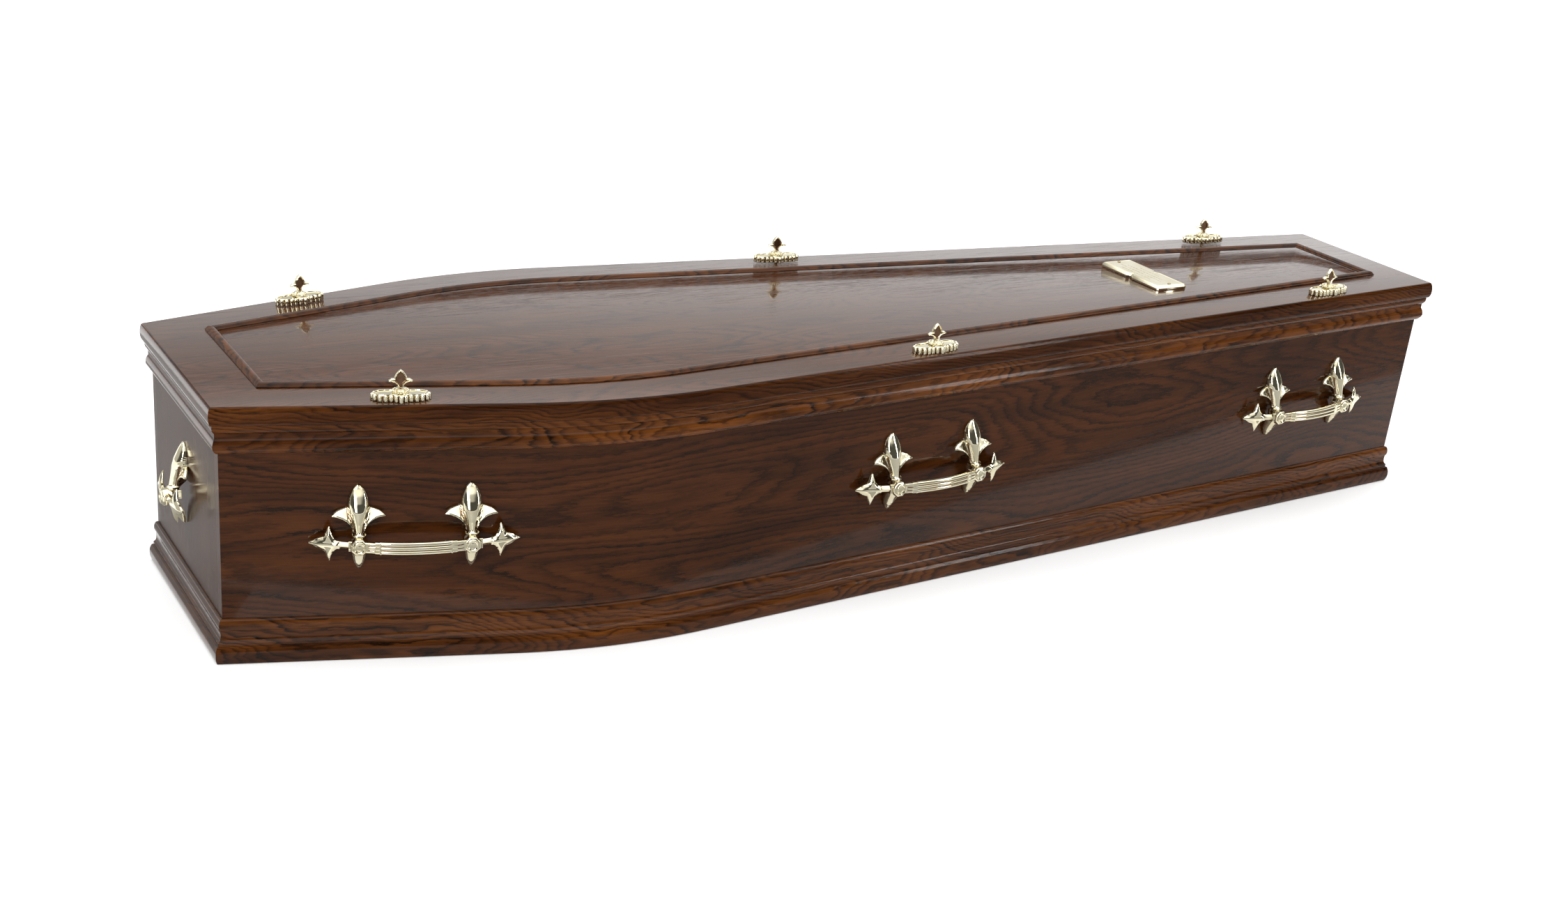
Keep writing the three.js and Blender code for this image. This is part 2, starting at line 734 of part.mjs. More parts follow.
// Thumb screw: shank, collar and an upright fleur-de-lis that faces across the coffin.
function thumbScrew(base) {
  const shankTop = base + 1;
  let screw = toSolid(upright(shankRadius, shankEnd, shankTop, 0, 0, 10));
  const collarProfile = [
    [0, base],
    [collarRadius, base],
    [collarRadius, base + collarHeight * 0.35],
    [collarRadius * 0.62, base + collarHeight],
    [0, base + collarHeight],
  ];
  const collar = new THREE.LatheGeometry(collarProfile.map(([r, z]) => new THREE.Vector2(r, z)), 8);
  collar.deleteAttribute('uv').deleteAttribute('normal').rotateX(Math.PI / 2);
  screw = screw.add(toSolid(outward(BufferGeometryUtils.mergeVertices(collar))));
  const foot = base + collarHeight - 1;
  const bud = [
    [0, 4.6, 3],
    [5, 4.2, 2.6],
    [11, finialBudHalf, finialThickness],
    [18.5, finialBudHalf * 0.5, finialThickness * 0.7],
    [finialHeight, 0.5, 0.5],
  ];
  const ring = ([level, half, thick]) => [0, 1, 2, 3, 4, 5].map((k) => {
    const angle = (k / 6) * Math.PI * 2;
    return new THREE.Vector3(half * Math.cos(angle), thick * Math.sin(angle), foot + level);
  });
  const rings = bud.map(ring);
  screw = screw.add(toSolid(loft(rings, rings[0].map((p) => new THREE.Vector2(p.x, p.y)))));
  for (const side of [1, -1]) {
    const petal = horn([
      new THREE.Vector3(side * 2, 0, foot + 5),
      new THREE.Vector3(side * 7, 0, foot + 11.5),
      new THREE.Vector3(side * 11, 0, foot + 13.5),
      new THREE.Vector3(side * finialPetalReach, 0, foot + 11.5),
    ], [3, 0.6], [2.8, 0.6]);
    screw = screw.add(toSolid(petal));
  }
  return toGeometry(screw);
}

const plateBase = lidTop + gap;
const plateShape = screwPlate();
const screwShape = thumbScrew(plateBase + plateHeight + gap);
screwSpots.forEach(({ x, y, turn }, i) => {
  const nearPlate = plateShape.clone().rotateZ(turn).translate(x, y, plateBase);
  const nearScrew = screwShape.clone().rotateZ(turn).translate(x, y, 0);
  place(`screw_plate_near_${handleNames[i]}`, nearPlate, brass);
  place(`screw_plate_far_${handleNames[i]}`, mirrored(nearPlate), brass);
  place(`lid_screw_near_${handleNames[i]}`, nearScrew, brass);
  place(`lid_screw_far_${handleNames[i]}`, mirrored(nearScrew), brass);
});

// Name plate across the panel near the foot, with a notch in the middle of each long edge.
function namePlateLoop(inset, z) {
  const halfX = namePlateWidth / 2 - inset;
  const halfY = namePlateLength / 2 - inset;
  const cut = namePlateCorner;
  const notch = namePlateNotch;
  const wide = namePlateNotchHalf;
  const quarter = [
    [halfX - notch, 0],
    [halfX - notch * 0.7, wide * 0.45],
    [halfX, wide],
    [halfX, halfY - cut],
    [halfX - cut * 0.3, halfY - cut * 0.3],
    [halfX - cut, halfY],
  ];
  const upper = [...quarter, ...quarter.slice(1).map(([x, y]) => [-x, y]).reverse()];
  const left = [[-(halfX - notch), 0]];
  const lower = upper.slice(1).map(([x, y]) => [-x, -y]);
  return [...upper, ...left, ...lower].map(([x, y]) => new THREE.Vector3(namePlateX + x, y, z));
}
const nameLoops = [
  namePlateLoop(0, plateBase),
  namePlateLoop(0, plateBase + namePlateHeight * 0.55),
  namePlateLoop(namePlateBevel, plateBase + namePlateHeight),
];
let namePlate = toSolid(loft(nameLoops, nameLoops[0].map((p) => new THREE.Vector2(p.x, p.y))));
for (const y of pinSpots) {
  const hole = upright(pinShankRadius + gap, lidTop - 1, lidTop + namePlateHeight + 2, namePlateX, y, 6);
  namePlate = namePlate.subtract(toSolid(hole));
}
place('name_plate', toGeometry(namePlate), brass);
const pinBase = plateBase + namePlateHeight + gap;
pinSpots.forEach((y, i) => {
  const shank = upright(pinShankRadius, lidTop - pinDepth, pinBase + 0.5, namePlateX, y, 6);
  const head = new THREE.CylinderGeometry(pinHeadRadius * 0.5, pinHeadRadius, pinHeadHeight, 10);
  head.rotateX(Math.PI / 2).translate(namePlateX, y, pinBase + pinHeadHeight / 2);
  place(`name_plate_pin_${i + 1}`, toGeometry(toSolid(shank).add(toSolid(head))), brass);
});

export default coffin;
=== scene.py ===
import math

import bmesh
import bpy
import numpy as np
from mathutils import Matrix, Vector
from mathutils.geometry import delaunay_2d_cdt


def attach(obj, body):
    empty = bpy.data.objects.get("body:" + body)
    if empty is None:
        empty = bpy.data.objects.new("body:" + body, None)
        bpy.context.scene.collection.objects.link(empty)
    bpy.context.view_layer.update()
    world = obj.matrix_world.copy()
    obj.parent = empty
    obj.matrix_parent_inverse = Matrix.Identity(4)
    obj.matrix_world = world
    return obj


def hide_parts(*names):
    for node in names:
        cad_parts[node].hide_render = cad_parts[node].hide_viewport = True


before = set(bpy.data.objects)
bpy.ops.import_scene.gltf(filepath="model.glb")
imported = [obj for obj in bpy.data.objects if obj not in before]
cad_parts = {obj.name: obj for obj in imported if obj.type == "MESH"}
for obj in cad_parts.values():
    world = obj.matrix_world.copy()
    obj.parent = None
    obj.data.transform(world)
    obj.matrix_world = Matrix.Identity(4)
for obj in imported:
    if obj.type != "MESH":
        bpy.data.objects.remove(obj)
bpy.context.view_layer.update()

# The floor board: a flat bottom of unfinished chipboard-coloured timber, let in between the
# sides and ends and pinned through them. Its plan is the coffin's own, narrowed by the boards.
MM = 0.001
LENGTH = 1950.0
SHOULDER_X = 484.0 - LENGTH / 2
HEAD_HALF = 179.0
SHOULDER_HALF = (309.0, 310.5)
FOOT_HALF = (142.0, 156.0)
FOOT_RAKE = 17.0
SHOULDER_RADIUS = 700.0
LID_UNDERSIDE = 315.0
BOX_TOP = 314.7
FACE_INSET = 8.5
BOARD = 18.0
SHOULDER_FACETS = 28


def plan_at(z):
    """Corners of the near side at a height, leaning as the boards do."""
    t = min(z / LID_UNDERSIDE, 1.0)
    foot_x = LENGTH / 2 - FOOT_RAKE * (1 - t)
    head = np.array([-LENGTH / 2, -HEAD_HALF])
    shoulder = np.array([SHOULDER_X, -(SHOULDER_HALF[0] + (SHOULDER_HALF[1] - SHOULDER_HALF[0]) * t)])
    foot = np.array([foot_x, -(FOOT_HALF[0] + (FOOT_HALF[1] - FOOT_HALF[0]) * t)])
    return head, shoulder, foot


def outward_normals(z):
    head, shoulder, foot = plan_at(z)
    found = []
    for a, b in ((head, shoulder), (shoulder, foot)):
        along = (b - a) / np.linalg.norm(b - a)
        found.append(np.array([along[1], -along[0]]))
    return found


def bend_point(z, out, s):
    """A point of the rounded shoulder, s from 0 to 1."""
    n1, n2 = outward_normals(z)
    mitre = (n1 + n2) / (1 + n1 @ n2)
    centre = plan_at(z)[1] - mitre * SHOULDER_RADIUS
    a1, a2 = math.atan2(n1[1], n1[0]), math.atan2(n2[1], n2[0])
    angle = a1 + (a2 - a1) * s
    return centre + (SHOULDER_RADIUS + out) * np.array([math.cos(angle), math.sin(angle)])


def straight_point(z, out, end, x):
    """Where a straight stretch, a distance out, crosses an X; end 0 is the head stretch."""
    n = outward_normals(z)[end]
    start = plan_at(z)[1] + n * out
    along = np.array([-n[1], n[0]])
    return start + along * (x - start[0]) / along[0]


def end_x(end, z):
    head, _, foot = plan_at(z)
    return head[0] if end == 0 else foot[0]


def plan_loop(z, out, head_x, foot_x):
    near = [straight_point(z, out, 0, head_x)]
    near += [bend_point(z, out, i / SHOULDER_FACETS) for i in range(SHOULDER_FACETS + 1)]
    near.append(straight_point(z, out, 1, foot_x))
    far = [np.array([p[0], -p[1]]) for p in reversed(near)]
    return [(p[0], p[1], z) for p in near + far]


def body_of_rings(rings, close=True):
    """Vertices in millimetres and faces of a body whose rings are joined in order and capped."""
    count = len(rings[0])
    verts = [p for ring in rings for p in ring]
    faces = []
    for r in range(len(rings) - 1):
        for i in range(count):
            j = (i + 1) % count
            a, b = r * count + i, r * count + j
            faces.append((a, b, b + count, a + count))
    if close:
        last = (len(rings) - 1) * count
        faces.append(tuple(reversed(range(count))))
        faces.append(tuple(range(last, last + count)))
    return verts, faces


def joined(*bodies):
    verts, faces = [], []
    for v, f in bodies:
        base = len(verts)
        verts += list(v)
        faces += [tuple(i + base for i in face) for face in f]
    return verts, faces


def tidy_faces(mesh, crease):
    """Faces point out, and edges sharper than the crease stay crisp."""
    bm = bmesh.new()
    bm.from_mesh(mesh)
    bmesh.ops.remove_doubles(bm, verts=bm.verts, dist=1e-7)
    bmesh.ops.recalc_face_normals(bm, faces=bm.faces)
    bm.to_mesh(mesh)
    bm.free()
    mesh.shade_smooth()
    mesh.set_sharp_from_angle(angle=math.radians(crease))


def make(name, body, crease=32):
    verts, faces = body
    mesh = bpy.data.meshes.new(name)
    mesh.from_pydata([tuple(c * MM for c in p) for p in verts], [], faces)
    mesh.update()
    tidy_faces(mesh, crease)
    piece = bpy.data.objects.new(name, mesh)
    bpy.context.collection.objects.link(piece)
    return piece


def lay_grain(piece, along, across, where=lambda normal, centre: True, shift=(0.0, 0.0)):
    """Grain coordinates in metres on the chosen faces: along and across are plain directions."""
    mesh = piece.data
    layer = mesh.uv_layers.get("grain") or mesh.uv_layers.new(name="grain")
    along, across = Vector(along), Vector(across)
    for face in mesh.polygons:
        if where(face.normal, face.center):
            for corner in face.loop_indices:
                co = mesh.vertices[mesh.loops[corner].vertex_index].co
                layer.data[corner].uv = (co.dot(along) + shift[0], co.dot(across) + shift[1])


def fit(piece, slot, *nodes):
    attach(piece, "root")
    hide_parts(*nodes)
    return piece


class Finish:
    """A material and short calls that add its nodes."""

    def __init__(self, name):
        self.material = bpy.data.materials.new(name)
        self.material.use_nodes = True
        self.tree = self.material.node_tree
        self.shader = self.tree.nodes["Principled BSDF"]

    def set(self, **values):
        for key, value in values.items():
            self.shader.inputs[key.replace("_", " ")].default_value = value

    def add(self, kind, inputs=(), **settings):
        made = self.tree.nodes.new(kind)
        for key, value in settings.items():
            setattr(made, key, value)
        for slot, value in dict(inputs).items():
            self.feed(value, made.inputs[slot])
        return made

    def feed(self, value, socket):
        if isinstance(value, bpy.types.NodeSocket):
            self.tree.links.new(value, socket)
        else:
            socket.default_value = value

    def sum(self, operation, *values, clamp=False):
        made = self.add("ShaderNodeMath", enumerate(values), operation=operation, use_clamp=clamp)
        return made.outputs[0]

    def vector(self, x, y, z):
        return self.add("ShaderNodeCombineXYZ", enumerate((x, y, z))).outputs[0]

    def noise(self, vector, detail=2.0, roughness=0.5, scale=1.0):
        made = self.add("ShaderNodeTexNoise", {"Vector": vector, "Scale": scale, "Detail": detail, "Roughness": roughness})
        return made.outputs[0]

    def ramp(self, value, stops, interpolation="LINEAR"):
        made = self.add("ShaderNodeValToRGB", {"Fac": value})
        made.color_ramp.interpolation = interpolation
        points = made.color_ramp.elements
        while len(points) < len(stops):
            points.new(0.5)
        for point, (at, colour) in zip(points, stops):
            point.position = at
            point.color = (*colour, 1) if len(colour) == 3 else colour
        return made.outputs[0]

    def mix(self, blend, share, a, b):
        made = self.add("ShaderNodeMix", data_type="RGBA", blend_type=blend)
        self.feed(share, made.inputs[0])
        self.feed(a, made.inputs[6])
        self.feed(b, made.inputs[7])
        return made.outputs[2]

    def bump(self, height, strength, distance):
        made = self.add("ShaderNodeBump", {"Height": height, "Strength": strength, "Distance": distance})
        self.tree.links.new(made.outputs[0], self.shader.inputs["Normal"])


def raw_timber():
    """Plain sawn board: pale, dry, with soft lengthwise streaks."""
    finish = Finish("raw board")
    uv = finish.add("ShaderNodeUVMap", uv_map="grain").outputs[0]
    parts = finish.add("ShaderNodeSeparateXYZ", {0: uv})
    u, v = parts.outputs[0], parts.outputs[1]
    streak = finish.noise(finish.vector(finish.sum("MULTIPLY", u, 6), finish.sum("MULTIPLY", v, 160), 2.0), 4, 0.6)
    fleck = finish.noise(finish.vector(finish.sum("MULTIPLY", u, 90), finish.sum("MULTIPLY", v, 1200), 7.0), 2, 0.6)
    colour = finish.ramp(streak, [(0.3, (0.36, 0.21, 0.11)), (0.55, (0.52, 0.34, 0.19)), (0.8, (0.6, 0.42, 0.26))])
    colour = finish.mix("MULTIPLY", 0.35, colour, finish.ramp(fleck, [(0.35, (0.35, 0.25, 0.18)), (0.55, (1, 1, 1))]))
    finish.tree.links.new(colour, finish.shader.inputs["Base Color"])
    finish.tree.links.new(finish.ramp(streak, [(0, (0.55,) * 3), (1, (0.75,) * 3)]), finish.shader.inputs["Roughness"])
    finish.bump(fleck, 0.25, 0.0006)
    return finish.material


raw_board = raw_timber()
FLOOR_OUT = -FACE_INSET - BOARD - 0.5
FLOOR_THICK = 18.0
floor_rings = []
for z, back in ((0, 0.6), (0.6, 0), (FLOOR_THICK - 0.6, 0), (FLOOR_THICK, 0.6)):
    out = FLOOR_OUT - back
    floor_rings.append(plan_loop(z, out, end_x(0, z) - out, end_x(1, z) + out))
floor_board = make("floor_board_dressed", body_of_rings(floor_rings))
lay_grain(floor_board, (1, 0, 0), (0, 1, 0))
lay_grain(floor_board, (1, 0, 0), (0, 0, 1), lambda n, c: abs(n.z) < 0.5)
floor_board.data.materials.append(raw_board)
fit(floor_board, "raw_board", "floor_board")


# The two side boards: oak-veneered board, stained and lacquered to a high gloss. Saw kerfs
# across the inner face let each one bend round the shoulder; the ends are flush with the end faces.
def run_tree():
    """Sweeps a section along a rail. The rail's points say where the section's edge line is, which
    way out and up are there, and how far back the section may reach, which makes the saw kerfs."""
    tree = bpy.data.node_groups.new("timber run", "GeometryNodeTree")
    sockets = tree.interface
    sockets.new_socket("Rail", in_out="INPUT", socket_type="NodeSocketGeometry")
    section = sockets.new_socket("Section", in_out="INPUT", socket_type="NodeSocketObject")
    grain_start = sockets.new_socket("Grain start", in_out="INPUT", socket_type="NodeSocketFloat")
    material = sockets.new_socket("Finish", in_out="INPUT", socket_type="NodeSocketMaterial")
    sockets.new_socket("Run", in_out="OUTPUT", socket_type="NodeSocketGeometry")
    n, link = tree.nodes, tree.links.new

    def named(word, kind="FLOAT_VECTOR"):
        made = n.new("GeometryNodeInputNamedAttribute")
        made.data_type = kind
        made.inputs["Name"].default_value = word
        return made.outputs[0]

    def vector(operation, a, b):
        made = n.new("ShaderNodeVectorMath")
        made.operation = operation
        link(a, made.inputs[0])
        link(b, made.inputs["Scale"] if operation == "SCALE" else made.inputs[1])
        return made.outputs[0]

    start, finish = n.new("NodeGroupInput"), n.new("NodeGroupOutput")
    rail, loop = n.new("GeometryNodeMeshToCurve"), n.new("GeometryNodeMeshToCurve")
    info = n.new("GeometryNodeObjectInfo")
    link(start.outputs[0], rail.inputs[0])
    link(start.outputs[1], info.inputs[0])
    link(info.outputs["Geometry"], loop.inputs[0])
    sweep = n.new("GeometryNodeCurveToMesh")
    link(rail.outputs[0], sweep.inputs["Curve"])
    link(loop.outputs[0], sweep.inputs["Profile Curve"])
    sweep.inputs["Fill Caps"].default_value = True
    reach = n.new("ShaderNodeMath")
    reach.operation = "MAXIMUM"
    link(named("reach", "FLOAT"), reach.inputs[0])
    link(named("deepest", "FLOAT"), reach.inputs[1])
    place = vector("ADD", named("place"), vector("SCALE", named("across"), reach.outputs[0]))
    place = vector("ADD", place, vector("SCALE", named("lean"), named("rise", "FLOAT")))
    move = n.new("GeometryNodeSetPosition")
    link(sweep.outputs[0], move.inputs["Geometry"])
    link(place, move.inputs["Position"])
    shift = n.new("ShaderNodeMath")
    link(named("run", "FLOAT"), shift.inputs[0])
    link(start.outputs[2], shift.inputs[1])
    pair = n.new("ShaderNodeCombineXYZ")
    link(shift.outputs[0], pair.inputs[0])
    link(named("round", "FLOAT"), pair.inputs[1])
    store = n.new("GeometryNodeStoreNamedAttribute")
    store.data_type, store.domain = "FLOAT2", "CORNER"
    store.inputs["Name"].default_value = "grain"
    link(move.outputs[0], store.inputs["Geometry"])
    link(pair.outputs[0], store.inputs["Value"])
    real, paint = n.new("GeometryNodeRealizeInstances"), n.new("GeometryNodeSetMaterial")
    link(store.outputs[0], real.inputs[0])
    link(real.outputs[0], paint.inputs[0])
    link(start.outputs[3], paint.inputs["Material"])
    link(paint.outputs[0], finish.inputs[0])
    return tree, {"section": section.identifier, "start": grain_start.identifier, "finish": material.identifier}


timber_run, run_inputs = run_tree()


def thread(name, points, closed, **attributes):
    """A chain of points that carries values for a Geometry Nodes tree."""
    mesh = bpy.data.meshes.new(name)
    count = len(points)
    edges = [(i, (i + 1) % count) for i in range(count if closed else count - 1)]
    mesh.from_pydata([tuple(p) for p in points], edges, [])
    for word, values in attributes.items():
        flat = np.array(values, np.float32)
        kind = "FLOAT" if flat.ndim == 1 else "FLOAT_VECTOR"
        attribute = mesh.attributes.new(word, kind, "POINT")
        attribute.data.foreach_set("value" if kind == "FLOAT" else "vector", flat.ravel())
    piece = bpy.data.objects.new(name, mesh)
    bpy.context.collection.objects.link(piece)
    return piece


def set_solid(piece, *helpers, crease=32):
    """Turns the tree's result into the piece's own plain mesh and puts the helpers away."""
    bpy.context.view_layer.update()
    seen = piece.evaluated_get(bpy.context.evaluated_depsgraph_get())
    mesh = bpy.data.meshes.new_from_object(seen)
    piece.modifiers.clear()
    old, piece.data = piece.data, mesh
    mesh.name = piece.name
    bpy.data.meshes.remove(old)
    keep = {"grain", "position", "material_index", "sharp_face"}
    for attribute in [a.name for a in mesh.attributes if not a.name.startswith(".") and a.name not in keep]:
        mesh.attributes.remove(mesh.attributes[attribute])
    tidy_faces(mesh, crease)
    for helper in helpers:
        bpy.data.objects.remove(helper)
    return piece


def timber(name, section, stations, material, grain_start=0.0, far=False, crease=32):
    """A piece of one section along a rail. Section points are (out, height) in millimetres;
    stations are (point function of height and out, reach limit)."""
    section = np.array(section, float)
    length = np.concatenate([[0], np.cumsum(np.linalg.norm(np.diff(section, axis=0), axis=1))])
    loop = thread(name + "_section", [(a * MM, b * MM, 0) for a, b in section], True,
                  reach=section[:, 0] * MM, rise=section[:, 1] * MM, round=length * MM)
    low, high = section[:, 1].min(), section[:, 1].max()
    base = section[:, 0].max()
    sign = -1.0 if far else 1.0
    place, across, lean, deepest = [], [], [], []
    for point, limit in stations:
        at = lambda z, out: np.array([*point(z, out), z]) * (1, sign, 1)
        a, b, c = at(low, base), at(low, base - 10), at(high, base)
        side = (a - b) / 10
        rise = (c - a) / (high - low) if high > low else np.array([0, 0, 1.0])
        place.append((a - side * base - rise * low) * MM)
        across.append(side)
        lean.append(rise)
        deepest.append(-1.0 if limit is None else limit * MM)
    run = np.concatenate([[0], np.cumsum(np.linalg.norm(np.diff(np.array(place), axis=0), axis=1))])
    piece = thread(name, place, False, place=place, across=across, lean=lean, deepest=deepest, run=run)
    modifier = piece.modifiers.new("run", "NODES")
    modifier.node_group = timber_run
    modifier[run_inputs["section"]] = loop
    modifier[run_inputs["start"]] = float(grain_start)
    modifier[run_inputs["finish"]] = material
    return set_solid(piece, loop, crease=crease)


def side_stations(x_of, kerfs=0):
    """Stations of a side piece from head to foot; x_of gives its end's X at a height and reach."""
    def straight(end, part):
        def point(z, out):
            a, b = bend_point(z, out, end), straight_point(z, out, end, x_of(end, z, out))
            return a + (b - a) * part
        return point
    stations = [(straight(0, part), None) for part in (1, 0.66, 0.33)]
    spots = [(i / SHOULDER_FACETS, None) for i in range(SHOULDER_FACETS + 1)]
    for k in range(kerfs):
        s = (k + 0.5) / kerfs
        near = [abs(s - t) for t, _ in spots]
        spots = [spot for spot, gap in zip(spots, near) if gap > 0.006]
        for offset, limit in ((-KERF_TURN, None), (-KERF_TURN * 0.98, KERF_FLOOR), (KERF_TURN * 0.98, KERF_FLOOR), (KERF_TURN, None)):
            spots.append((s + offset, limit))
    spots.sort(key=lambda spot: spot[0])
    for s, limit in spots:
        stations.append((lambda z, out, s=s: bend_point(z, out, s), limit))
    stations += [(straight(1, (i + 1) / 6), None) for i in range(6)]
    return stations


def oak(name, figure, light, dark, line, rough, gloss_index, seed, weight=0.85, open_grain=0.1):
    """Stained oak under clear lacquer. The growth lines are level lines of a long, slow figure,
    so they close into ovals and peaks as in plain-sawn veneer; short pores lie along them."""
    finish = Finish(name)
    uv = finish.add("ShaderNodeUVMap", uv_map="grain").outputs[0]
    parts = finish.add("ShaderNodeSeparateXYZ", {0: uv})
    u, v = parts.outputs[0], parts.outputs[1]

    def field(along, across, depth, detail=2.0, roughness=0.5):
        return finish.noise(finish.vector(finish.sum("MULTIPLY", u, along), finish.sum("MULTIPLY", v, across), depth), detail, roughness)

    broad = field(*figure["broad"], seed, 1.2, 0.45)
    wave = field(*figure["wave"], seed + 3.1, 2.0, 0.55)
    ragged = field(*figure["ragged"], seed + 7.7, 2.0, 0.6)
    rings = finish.sum("MULTIPLY", broad, figure["rings"])
    rings = finish.sum("MULTIPLY_ADD", v, figure["across"], rings)
    rings = finish.sum("MULTIPLY_ADD", wave, figure["waver"], rings)
    rings = finish.sum("MULTIPLY_ADD", ragged, figure["rag"], rings)
    if "peak" in figure:
        pitch, slope, middle = figure["peak"]
        off = finish.sum("ABSOLUTE", finish.sum("SUBTRACT", v, middle))
        rings = finish.sum("MULTIPLY_ADD", u, pitch, rings)
        rings = finish.sum("MULTIPLY_ADD", off, slope, rings)
    turn = finish.sum("FRACT", rings)
    which = finish.sum("FLOOR", rings)
    chance = finish.add("ShaderNodeTexWhiteNoise", {"W": which}, noise_dimensions="1D").outputs[0]
    width = figure["width"]
    mark = finish.ramp(turn, [(0.0, (0.25,) * 3), (width * 0.35, (1,) * 3), (width, (0.55,) * 3), (min(width * 2.6, 0.95), (0,) * 3)])
    bold = finish.ramp(chance, [(0.0, (figure["faint"],) * 3), (1.0, (1,) * 3)])
    breaks = finish.ramp(field(7, 60, seed + 11, 3, 0.6), [(0.34, (0.25,) * 3), (0.56, (1,) * 3)])
    mark = finish.sum("MULTIPLY", finish.sum("MULTIPLY", mark, bold), breaks)
    pore = finish.ramp(field(55, 1500, seed + 17, 1.5, 0.5), [(0.55, (0,) * 3), (0.66, (1,) * 3)])
    zone = finish.ramp(turn, [(0.0, (1,) * 3), (0.6, (0.25,) * 3), (1.0, (0.6,) * 3)])
    shade = finish.ramp(turn, [(0.0, (0.6,) * 3), (0.45, (1.1,) * 3), (0.8, (1.15,) * 3), (1.0, (0.8,) * 3)])
    pore = finish.sum("MULTIPLY", pore, zone)
    tone = finish.ramp(field(3.2, 26, seed + 23, 3, 0.6), [(0.3, dark), (0.68, light)])
    streak = finish.ramp(field(9, 420, seed + 29, 3, 0.65), [(0.25, (0.72,) * 3), (0.7, (1.12,) * 3)])
    colour = finish.mix("MULTIPLY", 1.0, finish.mix("MULTIPLY", weight, tone, shade), streak)
    colour = finish.mix("MIX", finish.sum("MULTIPLY", mark, weight), colour, (*line, 1))
    colour = finish.mix("MIX", finish.sum("MULTIPLY", pore, 0.5), colour, (*line, 1))
    finish.tree.links.new(colour, finish.shader.inputs["Base Color"])
    silk = finish.ramp(field(4, 90, seed + 31, 3, 0.6), [(0.2, (rough * 0.75,) * 3), (0.8, (rough * 1.35,) * 3)])
    furrow = finish.ramp(field(7, 330, seed + 41, 3, 0.7), [(0.57, (0,) * 3), (0.69, (1,) * 3)])
    silk = finish.sum("MULTIPLY_ADD", furrow, open_grain, silk)
    finish.tree.links.new(silk, finish.shader.inputs["Roughness"])
    finish.set(IOR=gloss_index)
    height = finish.sum("ADD", finish.sum("MULTIPLY", pore, -0.5), finish.sum("MULTIPLY", field(1.2, 9, seed + 37, 2, 0.5), 1.6))
    height = finish.sum("MULTIPLY_ADD", furrow, -4.0 * open_grain, height)
    finish.bump(height, 0.1, 0.0006)
    return finish.material


VENEER_FIGURE = dict(broad=(1.35, 7.0), wave=(4.5, 30), ragged=(55, 300), rings=26.0, across=44.0, waver=1.7, rag=0.95, width=0.22, faint=0.15)
LID_FIGURE = dict(broad=(1.9, 8.0), wave=(8, 42), ragged=(48, 240), rings=34.0, across=55.0, waver=2.2, rag=0.5, width=0.16, faint=0.15)
veneer = oak("oak veneer, sides", VENEER_FIGURE, (0.053, 0.0160, 0.0036), (0.022, 0.0065, 0.0018), (0.0025, 0.0014, 0.0009), 0.06, 1.31, 4.0)
top_veneer = oak("oak veneer, lid", LID_FIGURE, (0.078, 0.029, 0.0115), (0.044, 0.016, 0.0072), (0.006, 0.003, 0.002), 0.05, 1.5, 4.0, 0.7, 0.3)
end_veneer = oak("oak veneer, ends", LID_FIGURE, (0.050, 0.018, 0.0065), (0.028, 0.010, 0.004), (0.006, 0.003, 0.002), 0.14, 1.25, 4.0, 0.6, 0.14)

KERF_TURN = (1.0 / SHOULDER_RADIUS) / abs(
    math.atan2(*reversed(outward_normals(0)[1])) - math.atan2(*reversed(outward_normals(0)[0]))
)
KERF_FLOOR = -FACE_INSET - 4.0
inner = -FACE_INSET - BOARD
board_section = [(inner, 0), (-FACE_INSET, 0), (-FACE_INSET, 150), (-FACE_INSET, BOX_TOP), (inner, BOX_TOP), (inner, 150)]


def square_end(end, z, out):
    return end_x(end, z) + (FACE_INSET if end == 0 else -FACE_INSET)


for far, side in ((False, "near"), (True, "far")):
    board = timber("side_board_%s_dressed" % side, board_section, side_stations(square_end, kerfs=7), veneer, 0.0 if far else 1.3, far)
    lay_grain(board, (0, 0, 1), (0, 1, 0), lambda n, c: abs(n.x) > 0.9 and abs(c.x) > 0.9, (0.7, 0.3))
    fit(board, "veneered_board", "side_board_" + side)

# The head and foot boards: the same lacquered veneer, housed between the sides and flush with
# their ends; the foot board rakes in towards the floor.
for end, word in ((0, "head"), (1, "foot")):
    inward = 1 if end == 0 else -1
    rings = []
    for z in (0.0, 100.0, 200.0, BOX_TOP):
        x = square_end(end, z, 0)
        back = x + inward * BOARD
        y_face = straight_point(z, inner - 0.3, end, x)[1]
        y_back = straight_point(z, inner - 0.3, end, back)[1]
        rings.append([(x, y_face, z), (x, -y_face, z), (back, -y_back, z), (back, y_back, z)])
    board = make(word + "_board_dressed", body_of_rings(rings))
    lay_grain(board, (0, 0, 1), (0, 1, 0), shift=(0.7, 0.3) if end == 0 else (2.1, 0.9))
    board.data.materials.append(end_veneer)
    fit(board, "veneered_board", word + "_board")


